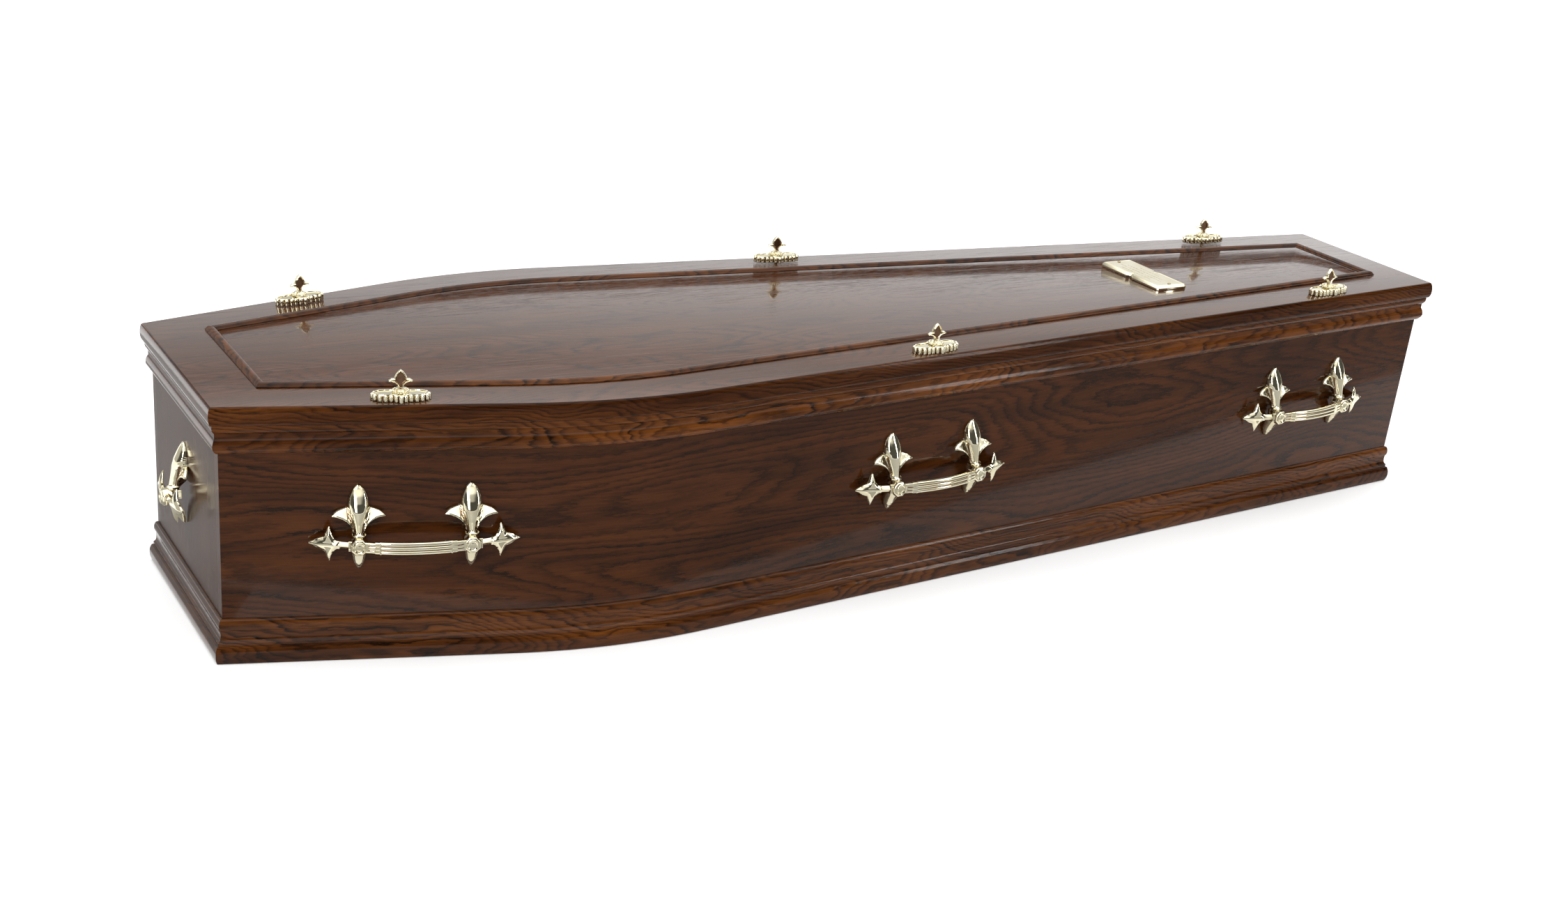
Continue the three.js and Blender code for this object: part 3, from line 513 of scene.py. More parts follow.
# The base and frieze mouldings: solid oak strips run to a profile, stained with the rest, mitred
# at the corners, bent round the shoulder, and glued and pinned round the foot and top of the box.
def softened(points, crisp, steps=5):
    """A smooth line through the points of a profile that keeps the crisp ones as corners."""
    found = [points[0]]
    for i in range(len(points) - 1):
        a, b = np.array(points[i], float), np.array(points[i + 1], float)
        before = a if i in crisp else np.array(points[i - 1], float)
        after = b if i + 1 in crisp else np.array(points[i + 2], float)
        if i in crisp and i + 1 in crisp:
            found.append(tuple(b))
            continue
        ta, tb = (b - before) / 2, (after - a) / 2
        for k in range(1, steps + 1):
            t = k / steps
            h = (2 * t**3 - 3 * t**2 + 1) * a + (t**3 - 2 * t**2 + t) * ta + (3 * t**2 - 2 * t**3) * b + (t**3 - t**2) * tb
            found.append(tuple(h))
    return found


MOULDING_BACK = 0.3 - FACE_INSET
MITRE_GAP = 0.2
base_section = softened(
    [(MOULDING_BACK, 0), (0.4, 0), (1.2, 0.5), (3, 7), (2.7, 16), (0.4, 22.6), (-1.8, 23.4), (-1.8, 27), (-4.8, 31),
     (-5.4, 37), (-5, 42), (-3.4, 46), (-3.6, 52), (-5.4, 56.6), (MOULDING_BACK, 58)], {0, 1, 2, 5, 6, 7, 10, 14})
frieze_section = softened(
    [(MOULDING_BACK, 277), (-6.4, 277.2), (-4.6, 278.6), (-1.2, 283.6), (-0.9, 289), (-2.4, 294.4), (-4, 297), (-4, 303.5),
     (-1.4, 307), (-0.4, 310.5), (-0.4, BOX_TOP), (MOULDING_BACK, BOX_TOP)], {0, 1, 2, 6, 7, 10, 11})
MOULDING_FIGURE = dict(broad=(5.5, 12.0), wave=(16, 60), ragged=(70, 300), rings=13.0, across=70.0, waver=2.4, rag=0.7,
                       width=0.34, faint=0.1, peak=(24.0, 70.0, 0.03))
moulding = oak("oak moulding", MOULDING_FIGURE, (0.104, 0.0325, 0.0060), (0.026, 0.0075, 0.0020), (0.0025, 0.0014, 0.0009), 0.07, 1.25, 9.0, 1.0)
# Painted shade: the mouldings across the ends take a darker, greyer copy of the moulding oak than the sides do, which
# holds down the studio light on the ends.
end_moulding_painted_shade = oak("oak moulding, ends", MOULDING_FIGURE, (0.060, 0.022, 0.007), (0.028, 0.010, 0.004), (0.004, 0.0024, 0.0016), 0.10, 1.45, 9.0, 0.8)


def mitred(inset):
    def x_of(end, z, out):
        return end_x(end, z) - out + inset if end == 0 else end_x(end, z) + out - inset
    return x_of


def end_stations(end, x_of, out_of=lambda out: out):
    """The two mitred ends of a piece that crosses an end of the coffin."""
    def corner(side):
        def point(z, out):
            x = x_of(end, z, out)
            return np.array([x, side * (straight_point(z, out_of(out), end, x)[1] + MITRE_GAP)])
        return point
    near, far = corner(1), corner(-1)
    between = [(lambda z, out, t=t: near(z, out) * (1 - t) + far(z, out) * t, None) for t in (0.33, 0.66)]
    return [(near, None), *between, (far, None)]


for word, section, start in (("base", base_section, 0.0), ("frieze", frieze_section, 3.7)):
    for far, side in ((False, "near"), (True, "far")):
        strip = timber("%s_moulding_%s_dressed" % (word, side), section, side_stations(mitred(MITRE_GAP)), moulding, start + 5.3 * far, far)
        fit(strip, "moulding", "%s_moulding_%s" % (word, side))
    for end, side in ((0, "head"), (1, "foot")):
        strip = timber("%s_moulding_%s_dressed" % (word, side), section, end_stations(end, mitred(0)), end_moulding_painted_shade, start + 11 + 2 * end)
        fit(strip, "moulding", "%s_moulding_%s" % (word, side))

# The lid: one lacquered board in the coffin's plan whose edge is rounded over, top and bottom.
# It lies loose on the box and is held by the lid screws.
LID_TOP = 340.0
LID_THICK = 25.0
NOSE_OUT = 4.5
NOSE_DEPTH = 4.0
lid_rings = []
for i in range(15):
    angle = math.pi * (i / 14 - 0.5)
    out = NOSE_OUT - NOSE_DEPTH * (1 - math.cos(angle))
    z = LID_UNDERSIDE + (LID_THICK / 2) * (1 + math.sin(angle))
    ring = plan_loop(LID_TOP, out, end_x(0, LID_TOP) - out, end_x(1, LID_TOP) + out)
    lid_rings.append([(x, y, z) for x, y, _ in ring])
lid = make("lid_board_dressed", body_of_rings(lid_rings), crease=50)
lay_grain(lid, (1, 0, 0), (0, 1, 0), shift=(5.2, 1.7))
lay_grain(lid, (1, 0, 0), (0, 0.3, 1), lambda n, c: abs(n.z) < 0.97 and abs(n.y) > abs(n.x), (8.0, 0.0))
lay_grain(lid, (0, 1, 0), (0.3, 0, 1), lambda n, c: abs(n.z) < 0.97 and abs(n.y) <= abs(n.x), (8.0, 0.0))
# The lid's rounded side edges take a darker copy of the moulding oak: partly the edge's own darker red, partly painted
# shade against the overhead light. The end edges take the ends' copy, which is darkened as painted shade too.
lid.data.materials.append(top_veneer)
lid.data.materials.append(oak("oak edge", MOULDING_FIGURE, (0.070, 0.0215, 0.0042), (0.018, 0.0050, 0.0015), (0.0025, 0.0012, 0.0008), 0.07, 1.20, 9.0, 0.9))
lid.data.materials.append(end_moulding_painted_shade)
for face in lid.data.polygons:
    face.material_index = 0 if abs(face.normal.z) > 0.97 else 2 if abs(face.normal.x) > 0.9 else 1
fit(lid, "veneered_board", "lid_board")

# The bead on the lid: a low rounded strip of the same oak, mitred into a frame round the panel
# and glued down.
BEAD_SIDE, BEAD_HEAD, BEAD_FOOT = 67.0, 69.0, 62.0
BEAD_BASE = LID_TOP + 0.3
bead_section = softened(
    [(0, 0), (0, 1.4), (-1.1, 2.2), (-3.2, 4.9), (-7, 5.8), (-10.8, 4.9), (-12.9, 2.2), (-14, 1.4), (-14, 0)],
    {0, 1, 2, 6, 7, 8})
bead_section = [(out - BEAD_SIDE, rise + BEAD_BASE) for out, rise in bead_section]


def bead_x(inset):
    def x_of(end, z, out):
        past = out + BEAD_SIDE
        if end == 0:
            return -LENGTH / 2 + BEAD_HEAD - past + inset
        return LENGTH / 2 - BEAD_FOOT + past - inset
    return x_of


for far, side in ((False, "near"), (True, "far")):
    strip = timber("lid_bead_%s_dressed" % side, bead_section, side_stations(bead_x(MITRE_GAP)), moulding, 21 + 3 * far, far)
    fit(strip, "moulding", "lid_bead_" + side)
for end, side in ((0, "head"), (1, "foot")):
    strip = timber("lid_bead_%s_dressed" % side, bead_section, end_stations(end, bead_x(0)), moulding, 27 + 2 * end)
    fit(strip, "moulding", "lid_bead_" + side)


# The handle brackets: cast in light alloy, brassed and lacquered. Each is a fleur-de-lis against
# the wall whose stem swells out to a hub that carries the bar, with a pointed tongue below.
def brassing():
    """Pale bright brass plate with a fine uneven sheen and a tone that varies at random."""
    finish = Finish("pale brass")
    place = finish.add("ShaderNodeTexCoord").outputs["Object"]
    cloud = finish.noise(place, 3, 0.55, 38)
    fine = finish.noise(place, 2, 0.6, 900)
    colour = finish.ramp(cloud, [(0.3, (0.70, 0.625, 0.42)), (0.6, (0.77, 0.715, 0.53)), (0.8, (0.82, 0.78, 0.63))])
    finish.tree.links.new(colour, finish.shader.inputs["Base Color"])
    sheen = finish.ramp(cloud, [(0.25, (0.045,) * 3), (0.75, (0.08,) * 3)])
    finish.tree.links.new(sheen, finish.shader.inputs["Roughness"])
    finish.set(Metallic=1.0)
    finish.bump(finish.sum("MULTIPLY_ADD", fine, 0.1, cloud), 0.1, 0.0006)
    return finish.material


brass = brassing()
# Painted shade: a dark brown brass that the fittings' hollows, grooves and recesses take in place of the pale brass.
hollow_shade = Finish("toned brass")
hollow_shade_noise = hollow_shade.noise(hollow_shade.add("ShaderNodeTexCoord").outputs["Object"], 2, 0.5, 300)
hollow_shade_colour = hollow_shade.ramp(hollow_shade_noise, [(0.3, (0.14, 0.075, 0.043)), (0.7, (0.21, 0.125, 0.075))])
hollow_shade.tree.links.new(hollow_shade_colour, hollow_shade.shader.inputs["Base Color"])
hollow_shade.set(Metallic=1.0, Roughness=0.3)


def paint_hollow_shade(piece, places, hollow):
    """Painted shade: a dark brown brass on the faces that lie in a hollow, judged in the pattern's frame."""
    piece.data.materials.append(hollow_shade.material)
    centres = np.array([face.center for face in piece.data.polygons])
    spots = np.array([place.translation for place in places])
    nearest = ((centres[:, None, :2] - spots[None, :, :2]) ** 2).sum(2).argmin(1)
    for k, place in enumerate(places):
        mine = np.flatnonzero(nearest == k)
        back = np.array(place.inverted())
        local = (centres[mine] @ back[:3, :3].T + back[:3, 3]) / MM
        for i in mine[hollow(local)]:
            piece.data.polygons[int(i)].material_index = len(piece.data.materials) - 1


def around(points, pitch):
    """A closed line resampled at an even pitch that keeps its corners."""
    found = []
    for a, b in zip(points, points[1:] + points[:1]):
        a, b = np.array(a, float), np.array(b, float)
        steps = max(1, round(np.linalg.norm(b - a) / pitch))
        found += [a + (b - a) * k / steps for k in range(steps)]
    return np.array(found)


def edge_distance(points, line):
    a, b = line, np.roll(line, -1, axis=0)
    d = b - a
    p = points[:, None, :]
    t = np.clip(((p - a) * d).sum(2) / (d * d).sum(1), 0, 1)
    return np.sqrt((((a + t[..., None] * d) - p) ** 2).sum(2)).min(1)


def inside(points, line):
    x, y = points[:, 0:1], points[:, 1:2]
    ax, ay = line[:, 0], line[:, 1]
    bx, by = np.roll(ax, -1), np.roll(ay, -1)
    crosses = ((ay > y) != (by > y)) & (x < (bx - ax) * (y - ay) / np.where(by == ay, 1e-9, by - ay) + ax)
    return crosses.sum(1) % 2 == 1


def carved(outline, pitch, front, back, soften=2):
    """A cast shape over a flat outline: front and back give its two faces' stand-off at a point,
    from the point and its distance to the edge; the front is softened as a casting is.
    Returns points (across, stand-off, up)."""
    line = around(outline, pitch)
    low, high = line.min(0), line.max(0)
    grid = np.stack(np.meshgrid(np.arange(low[0], high[0], pitch), np.arange(low[1], high[1], pitch)), -1)
    grid[1::2, :, 0] += pitch / 2
    grid = grid.reshape(-1, 2)
    grid = grid[inside(grid, line)]
    grid = grid[edge_distance(grid, line) > pitch * 0.55]
    points = [Vector(p) for p in np.vstack([line, grid])]
    rim = [(i, (i + 1) % len(line)) for i in range(len(line))]
    flat, _, triangles, _, _, _ = delaunay_2d_cdt(points, rim, [], 1, 1e-5)
    flat = np.array([tuple(p) for p in flat])
    depth = edge_distance(flat, line)
    f = np.array([front(x, z, d) for (x, z), d in zip(flat, depth)])
    b = np.array([back(x, z, d) for (x, z), d in zip(flat, depth)])
    corner = np.array(triangles)
    ends = np.concatenate([corner[:, [0, 1]], corner[:, [1, 2]], corner[:, [2, 0]]])
    ends = np.concatenate([ends, ends[:, ::-1]])
    degree = np.bincount(ends[:, 0], minlength=len(flat))
    for _ in range(soften):
        around_each = np.bincount(ends[:, 0], f[ends[:, 1]], len(flat)) / degree
        f = np.where(depth > 0.3, 0.4 * f + 0.6 * around_each, f)
    b = np.minimum(b, f - 0.3)
    count = len(flat)
    verts = [(x, h, z) for (x, z), h in zip(flat, f)] + [(x, h, z) for (x, z), h in zip(flat, b)]
    faces = [tuple(t) for t in triangles] + [tuple(i + count for i in reversed(t)) for t in triangles]
    uses = {}
    for t in triangles:
        for i in range(3):
            key = (t[i], t[(i + 1) % 3])
            uses[key] = uses.get(key, 0) + 1
    for i, j in uses:
        if (j, i) not in uses:
            faces.append((j, i, i + count, j + count))
    return verts, faces


def table(rows):
    """A smooth value read between rows of (level, value)."""
    at, value = zip(*sorted(rows))
    return lambda z: float(np.interp(z, at, value))


def both_sides(half):
    """A closed outline from its right half, listed from the bottom to the top."""
    left = [(-x, z) for x, z in reversed(half) if x > 0]
    return list(half) + left


LILY = [(6.2, -3), (6.3, 9.6), (8.4, 10.2), (8.4, 13.9), (6.8, 14.6), (8.0, 19), (10.6, 24), (14.6, 28), (20, 31.2), (26.5, 33.2),
        (33, 33.8), (30, 37.4), (25.6, 40.4), (20.4, 42.2), (15.2, 43.6), (13.2, 46), (13.0, 50), (12.0, 56), (9.8, 62.4), (6.6, 68), (3.0, 71.6), (0, 73)]
petal_edge = table([(6.8, 14.6), (8.0, 19), (10.6, 24), (14.6, 28), (20, 31.2), (26.5, 33.2), (33, 33.8)])
lip_height = table([(38, 9.0), (45, 7.4), (56, 5.6), (66, 3.8), (73, 2.4)])
stem_front = table([(-4, 24), (8, 23.6), (15, 22), (26, 19.8), (41, 17.4), (50, 14.6), (60, 9.6), (68, 5.0), (73, 2.6)])
stem_half = table([(-4, 6.0), (10, 6.2), (16, 6.5), (24, 7.8), (32, 9.8), (39, 11.6), (46, 12.7), (50, 12.6), (56, 11.6), (62.4, 9.4), (68, 6.2), (71.6, 2.6), (73, 0.5)])
stem_back = table([(-4, 14), (4, 14), (14, 8), (21, 0.3), (73, 0.3)])


def lily_front(x, z, d):
    half = stem_half(z)
    if 10.2 <= z <= 13.9 and abs(x) <= 8.4:
        return 24.4 - 5.0 * (abs(x) / 8.4) ** 4
    lip = lip_height(z) if z > 38 else 8.0
    body = -1.0
    if abs(x) < half:
        body = lip + (stem_front(z) - lip) * (1 - (abs(x) / half) ** 2.1) ** 0.6
    if z > 43.6 or z < 14.6:
        return max(body, lip - 0.6 * math.exp(-d / 0.5))
    climb = z - petal_edge(max(abs(x), 6.8))
    spread = max(0.0, min(1.0, (abs(x) - 6) / 27))
    petal = 14.6 - 4.6 * spread - 0.62 * climb - 0.9 * math.exp(-d / 0.6)
    petal += 0.8 * math.exp(-((climb - 1.6) / 1.2) ** 2)
    return (body + petal + math.hypot(body - petal, 1.1)) / 2


def lily_back(x, z, d):
    if z > 43.6 or abs(x) < stem_half(z) * 0.9:
        return stem_back(z)
    spread = max(0.0, min(1.0, (abs(x) - 6) / 27))
    climb = z - petal_edge(max(abs(x), 6.8))
    return 11.4 - 4.6 * spread - 0.62 * climb


def polygon_ring(out, radius, sides, corners=48, wide=1.0):
    ring = []
    for i in range(corners):
        a = 2 * math.pi * i / corners
        step = 2 * math.pi / sides if sides else 0
        r = radius * (math.cos(step / 2) / math.cos((a % step) - step / 2) if sides else 1.0)
        ring.append((wide * r * math.cos(a + (step / 2 if sides else 0)), out, r * math.sin(a + (step / 2 if sides else 0))))
    return ring


hub_steps = [(12, 9.6, 8), (12.8, 11.3, 8), (29.4, 11.6, 8), (31.2, 10.6, 8), (32, 9.4, 8)]
hub = body_of_rings([polygon_ring(*s) for s in hub_steps])
boss_steps = [(31.5, 8.6), (32.6, 8.5), (33.5, 7.9), (33.9, 7.0), (33.6, 6.2), (32.7, 5.5), (32.5, 4.6), (32.9, 3.4), (33.2, 1.8), (33.3, 0.2)]
boss = body_of_rings([polygon_ring(out, r, 0, 48, 0.92) for out, r in boss_steps])
TONGUE = [(0, -39), (3.2, -35), (6.0, -28), (7.7, -20), (8.7, -12), (8.7, -5)]
tongue_front = table([(-5, 24), (-10, 21.5), (-20, 15.0), (-30, 9.0), (-36, 5.8), (-39, 4.2)])
tongue_back = table([(-5, 12), (-12, 7.5), (-20, 3.5), (-39, 0.3)])


def tongue_face(x, z, d):
    face = tongue_front(z) + 1.2 - 0.02 * x * x - 1.7 * math.exp(-d / 0.8)
    r = math.hypot(x, z + 28.5)
    return face + 0.9 * math.exp(-((r - 2.2) / 0.7) ** 2) + 0.8 * math.exp(-(r / 0.8) ** 2)


bracket_body = joined(
    carved(both_sides(LILY), 0.9, lily_front, lily_back),
    hub, boss,
    carved(both_sides(TONGUE), 0.9, tongue_face, lambda x, z, d: tongue_back(z)))
HUB_HEIGHT = 161.0
HUB_SPACING = 139.0
HANDLES = {"head": -738.0, "middle": 3.0, "foot": 731.0}


def outward_frame(verts):
    """From (across, stand-off, up) to a frame whose minus Y is out."""
    return [(x, -h, z) for x, h, z in verts]


def wall_frame(x):
    """The near wall's frame at an X and the hub's height, leaning with the board."""
    end = 0 if x < SHOULDER_X else 1
    seat = 0.3 - FACE_INSET
    at = lambda px, z: Vector((*straight_point(z, seat, end, px), z))
    origin = at(x, HUB_HEIGHT)
    along = (at(x + 1, HUB_HEIGHT) - origin).normalized()
    up = at(x, HUB_HEIGHT + 1) - origin
    inward = -along.cross(up).normalized()
    rise = along.cross(inward)
    turn = Matrix((along, inward, rise)).transposed().to_4x4()
    return Matrix.Translation(origin * MM) @ turn


def repeat_tree():
    """Sets a piece out at every spot, turned and sized as the spot says."""
    tree = bpy.data.node_groups.new("set out", "GeometryNodeTree")
    sockets = tree.interface
    sockets.new_socket("Spots", in_out="INPUT", socket_type="NodeSocketGeometry")
    piece = sockets.new_socket("Piece", in_out="INPUT", socket_type="NodeSocketObject")
    size = sockets.new_socket("Size", in_out="INPUT", socket_type="NodeSocketFloat")
    material = sockets.new_socket("Finish", in_out="INPUT", socket_type="NodeSocketMaterial")
    sockets.new_socket("Row", in_out="OUTPUT", socket_type="NodeSocketGeometry")
    n, link = tree.nodes, tree.links.new
    start, finish = n.new("NodeGroupInput"), n.new("NodeGroupOutput")
    spots = n.new("GeometryNodeMeshToPoints")
    link(start.outputs[0], spots.inputs[0])
    info = n.new("GeometryNodeObjectInfo")
    link(start.outputs[1], info.inputs[0])
    turn, stretch = n.new("GeometryNodeInputNamedAttribute"), n.new("GeometryNodeInputNamedAttribute")
    for made, word in ((turn, "turn"), (stretch, "stretch")):
        made.data_type = "FLOAT_VECTOR"
        made.inputs["Name"].default_value = word
    euler = n.new("FunctionNodeEulerToRotation")
    link(turn.outputs[0], euler.inputs[0])
    grow = n.new("ShaderNodeVectorMath")
    grow.operation = "SCALE"
    link(stretch.outputs[0], grow.inputs[0])
    link(start.outputs[2], grow.inputs["Scale"])
    copy = n.new("GeometryNodeInstanceOnPoints")
    link(spots.outputs[0], copy.inputs["Points"])
    link(info.outputs["Geometry"], copy.inputs["Instance"])
    link(euler.outputs[0], copy.inputs["Rotation"])
    link(grow.outputs[0], copy.inputs["Scale"])
    real, paint = n.new("GeometryNodeRealizeInstances"), n.new("GeometryNodeSetMaterial")
    link(copy.outputs[0], real.inputs[0])
    link(real.outputs[0], paint.inputs[0])
    link(start.outputs[3], paint.inputs["Material"])
    link(paint.outputs[0], finish.inputs[0])
    return tree, {"piece": piece.identifier, "size": size.identifier, "finish": material.identifier}


set_out, set_out_inputs = repeat_tree()


def row(name, pattern, places, material, stretch=None, crease=40):
    """Copies of one pattern piece at the given places, as one plain mesh."""
    points = [m.translation for m in places]
    turns = [tuple(m.to_euler("XYZ")) for m in places]
    piece = thread(name, points, False, turn=turns, stretch=stretch or [(1, 1, 1)] * len(places))
    modifier = piece.modifiers.new("row", "NODES")
    modifier.node_group = set_out
    modifier[set_out_inputs["piece"]] = pattern
    modifier[set_out_inputs["size"]] = 1.0
    modifier[set_out_inputs["finish"]] = material
    return set_solid(piece, pattern, crease=crease)


def half_turned(near):
    """The same fitting on the far side: place and turn mirrored, for a fitting alike left and right."""
    spot = near.translation
    along, inward, rise = (near.to_3x3().col[i] for i in range(3))
    along = -Vector((along.x, -along.y, along.z))
    inward = Vector((inward.x, -inward.y, inward.z))
    rise = Vector((rise.x, -rise.y, rise.z))
    turn = Matrix((along, inward, rise)).transposed().to_4x4()
    return Matrix.Translation((spot.x, -spot.y, spot.z)) @ turn


head_end_frame = Matrix.Translation((square_end(0, HUB_HEIGHT, 0) * MM, 0, HUB_HEIGHT * MM)) @ Matrix.Rotation(-math.pi / 2, 4, "Z")
foot_end_frame = (
    Matrix.Translation((square_end(1, HUB_HEIGHT, 0) * MM, 0, HUB_HEIGHT * MM))
    @ Matrix.Rotation(math.pi / 2, 4, "Z") @ Matrix.Rotation(math.atan2(FOOT_RAKE, LID_UNDERSIDE), 4, "X"))
near_frames = {word: wall_frame(x) for word, x in HANDLES.items()}
side_frames = {("near", word): f for word, f in near_frames.items()}
side_frames |= {("far", word): half_turned(f) for word, f in near_frames.items()}
bracket_places = []
for f in side_frames.values():
    for offset in (-HUB_SPACING / 2, HUB_SPACING / 2):
        bracket_places.append(f @ Matrix.Translation((offset * MM, 0, 0)))
bracket_places += [head_end_frame, foot_end_frame]
verts, faces = bracket_body
bracket = make("bracket_pattern", (outward_frame(verts), faces), crease=52)
brackets = row("handle_brackets", bracket, bracket_places, brass, crease=52)
# Painted shade on the brackets: the faces along the stem's edges, where the petals meet it.
paint_hollow_shade(brackets, bracket_places, lambda p: np.array(
    [15 < z < 43 and y < -8 and abs(abs(x) - 0.93 * stem_half(z)) < 0.7 for x, y, z in p]))
fit(brackets, "brass_fitting", *["handle_%s_%s_bracket_%s" % (s, h, k) for s in ("near", "far") for h in HANDLES for k in "ab"],
    "end_fitting_head_bracket", "end_fitting_foot_bracket")

# The handle bars: a bowed strip of three reeds between the hubs, a stepped block beside each hub,
# and past it a short shaft that ends in a fleur point with two thorn leaves. Same brassed casting.
BOW_RADIUS = 240.0
BOW_MIDDLE = 36.2
BOW_SLOPE = 0.31
BAR_THICK = 7.0


def bow(u, middle):
    held = min(abs(u), HUB_SPACING / 2)
    return middle - (BOW_RADIUS - math.sqrt(BOW_RADIUS**2 - held**2)) - BOW_SLOPE * (abs(u) - held)


def bar_core(half, middle):
    """The bar without its points: half is half the hub spacing, nought for an end fitting."""
    reach = half + 28.5
    stations = sorted({round(-reach + i * 2 * reach / 110, 3) for i in range(111)}
                      | {s * (half + k) for s in (-1, 1) for k in (12.9, 13.1, -26.6, -26.4, -24.9, -24.7, -19.1, -18.9) if half > 0 or k > 0})
    rings = []
    for u in stations:
        past = abs(u) - half
        if past > 13:
            high, reed, thick = 4.6 + 1.2 * max(0, (past - 22) / 6.5), 0.0, 6.0
            ridge = 1.3
        elif past > -11 or half == 0:
            high, reed, thick, ridge = 6.8, 0.0, BAR_THICK, 0.0
        elif past > -19:
            high, reed, thick, ridge = 7.0, 0.9, BAR_THICK, 0.0
        elif past > -24.8:
            high, reed, thick, ridge = 7.8, 0.5, BAR_THICK - 0.4, 0.0
        elif past > -26.5:
            high, reed, thick, ridge = 8.4, 0.2, BAR_THICK, 0.0
        else:
            high, reed, thick, ridge = 8.3, 2.4, BAR_THICK, 0.0
        centre = bow(u, middle)
        ring = []
        for k in range(25):
            q = -1 + 2 * k / 24
            s = (q * 1.5 + 1.5) % 1 * 2 - 1
            front = centre + thick / 2 - reed * (1 - math.sqrt(max(0, 1 - 0.96 * s * s))) - 0.5 * q * q - ridge * abs(q) * 2.2
            if abs(q) > 0.99:
                front -= 0.8
            ring.append((u, front, q * high))
        for q, inset in ((1.0, 1.6), (0.88, 0.3), (0, 0), (-0.88, 0.3), (-1.0, 1.6)):
            ring.append((u, centre - thick / 2 + inset, q * high))
        rings.append(ring)
    return body_of_rings(rings)


THORN_HALF = [(24, 4.6), (27.4, 5.2), (29.8, 7.0), (31.8, 10.4), (33.4, 14.6), (34.8, 19), (36.4, 23), (38.8, 19.4), (40.8, 15.2),
              (42.2, 11.4), (43.6, 8.8), (47, 7.8), (51.4, 6.0), (56, 3.2), (61, 0.4)]
THORN = [(u, -z) for u, z in THORN_HALF] + list(reversed(THORN_HALF))


def thorn_front(x, z, d):
    return 1.0 + 0.62 * min(d, 4.2) + 1.2 * math.exp(-abs(z) / 1.4) - 0.9 * math.exp(-d / 0.5) * (abs(z) > 9)


def thorn_point(half, middle, side):
    verts, faces = carved(THORN, 0.9, thorn_front, lambda x, z, d: -1.0 - 0.3 * min(d, 3.0))
    placed = [(side * (half + x), bow(half + x, middle) + h - 0.012 * z * z * 0.4, z) for x, h, z in verts]
    return placed, faces


def whole_bar(half, middle):
    return joined(bar_core(half, middle), thorn_point(half, middle, 1), thorn_point(half, middle, -1))


verts, faces = whole_bar(HUB_SPACING / 2, BOW_MIDDLE)
bar_pattern = make("bar_pattern", (outward_frame(verts), faces), crease=50)
bars = row("handle_bars", bar_pattern, list(side_frames.values()), brass, crease=50)


def in_reed_groove(p):
    """The two grooves between the three reeds, on the bow and on the stepped blocks."""
    short, from_middle = HUB_SPACING / 2 - abs(p[:, 0]), abs(p[:, 2])
    on_bow = (short > 26.5) & (abs(from_middle - 8.3 / 3) < 0.4)
    return on_bow | ((short > 11) & (short < 19) & (abs(from_middle - 7.0 / 3) < 0.35))


# Painted shade on the bars: the grooves between the reeds.
paint_hollow_shade(bars, list(side_frames.values()), in_reed_groove)
fit(bars, "brass_fitting", *["handle_%s_%s_bar" % (s, h) for s in ("near", "far") for h in HANDLES])
verts, faces = whole_bar(0.0, bow(HUB_SPACING / 2, BOW_MIDDLE))
end_pattern = make("end_bar_pattern", (outward_frame(verts), faces), crease=50)
end_bars = row("end_bars", end_pattern, [head_end_frame, foot_end_frame], brass, crease=50)
fit(end_bars, "brass_fitting", "end_fitting_head_bar", "end_fitting_foot_bar")

# The screw plates: pressed brassed crosses with long arms along the lid's edge. A row of upright
# gadroons forms the rim, and the top dishes down to a seat for the screw's collar.
PLATE_ARMS = (36.9, 17.9)
PLATE_WAIST = 8.6
PLATE_HIGH = 9.5
SCREW_X = {"head": -752.0, "middle": 3.0, "foot": 763.0}
PLATE_BASE = LID_TOP + 0.3


def cross_line(inset, count=240):
    found = []
    for i in range(count):
        a = 2 * math.pi * i / count
        c, s = math.cos(a), math.sin(a)
        ca, sa = abs(c) ** 5, abs(s) ** 5
        r = ca * PLATE_ARMS[0] + sa * PLATE_ARMS[1] + PLATE_WAIST * (1 - ca - sa) * 1.35 - inset
        found.append(np.array([r * c, r * s]))
    return found


def plate_core():
    rings = []
    for inset, z in ((3.0, 0), (2.8, 0.8), (2.8, 7.6), (3.2, 8.8), (3.9, PLATE_HIGH), (4.9, PLATE_HIGH - 0.2), (5.6, 8.2)):
        rings.append([(p[0], p[1], z) for p in cross_line(inset)])
    edge = cross_line(5.6)
    for k in range(1, 6):
        t = k / 5
        ring = []
        for p in edge:
            r = p / np.linalg.norm(p) * 7.2
            q = p * (1 - t) + r * t
            ring.append((q[0], q[1], 8.2 + 1.2 * t**3))
        rings.append(ring)
    return body_of_rings(rings)


def gadroon():
    """One upright half-round lobe with a domed top."""
    rings = []
    for z, r in ((0, 2.3), (0.5, 2.8), (6.6, 2.8), (7.9, 2.4), (8.8, 1.6), (9.3, 0.5)):
        rings.append([(r * math.cos(2 * math.pi * i / 12), r * math.sin(2 * math.pi * i / 12), z) for i in range(12)])
    return body_of_rings(rings)


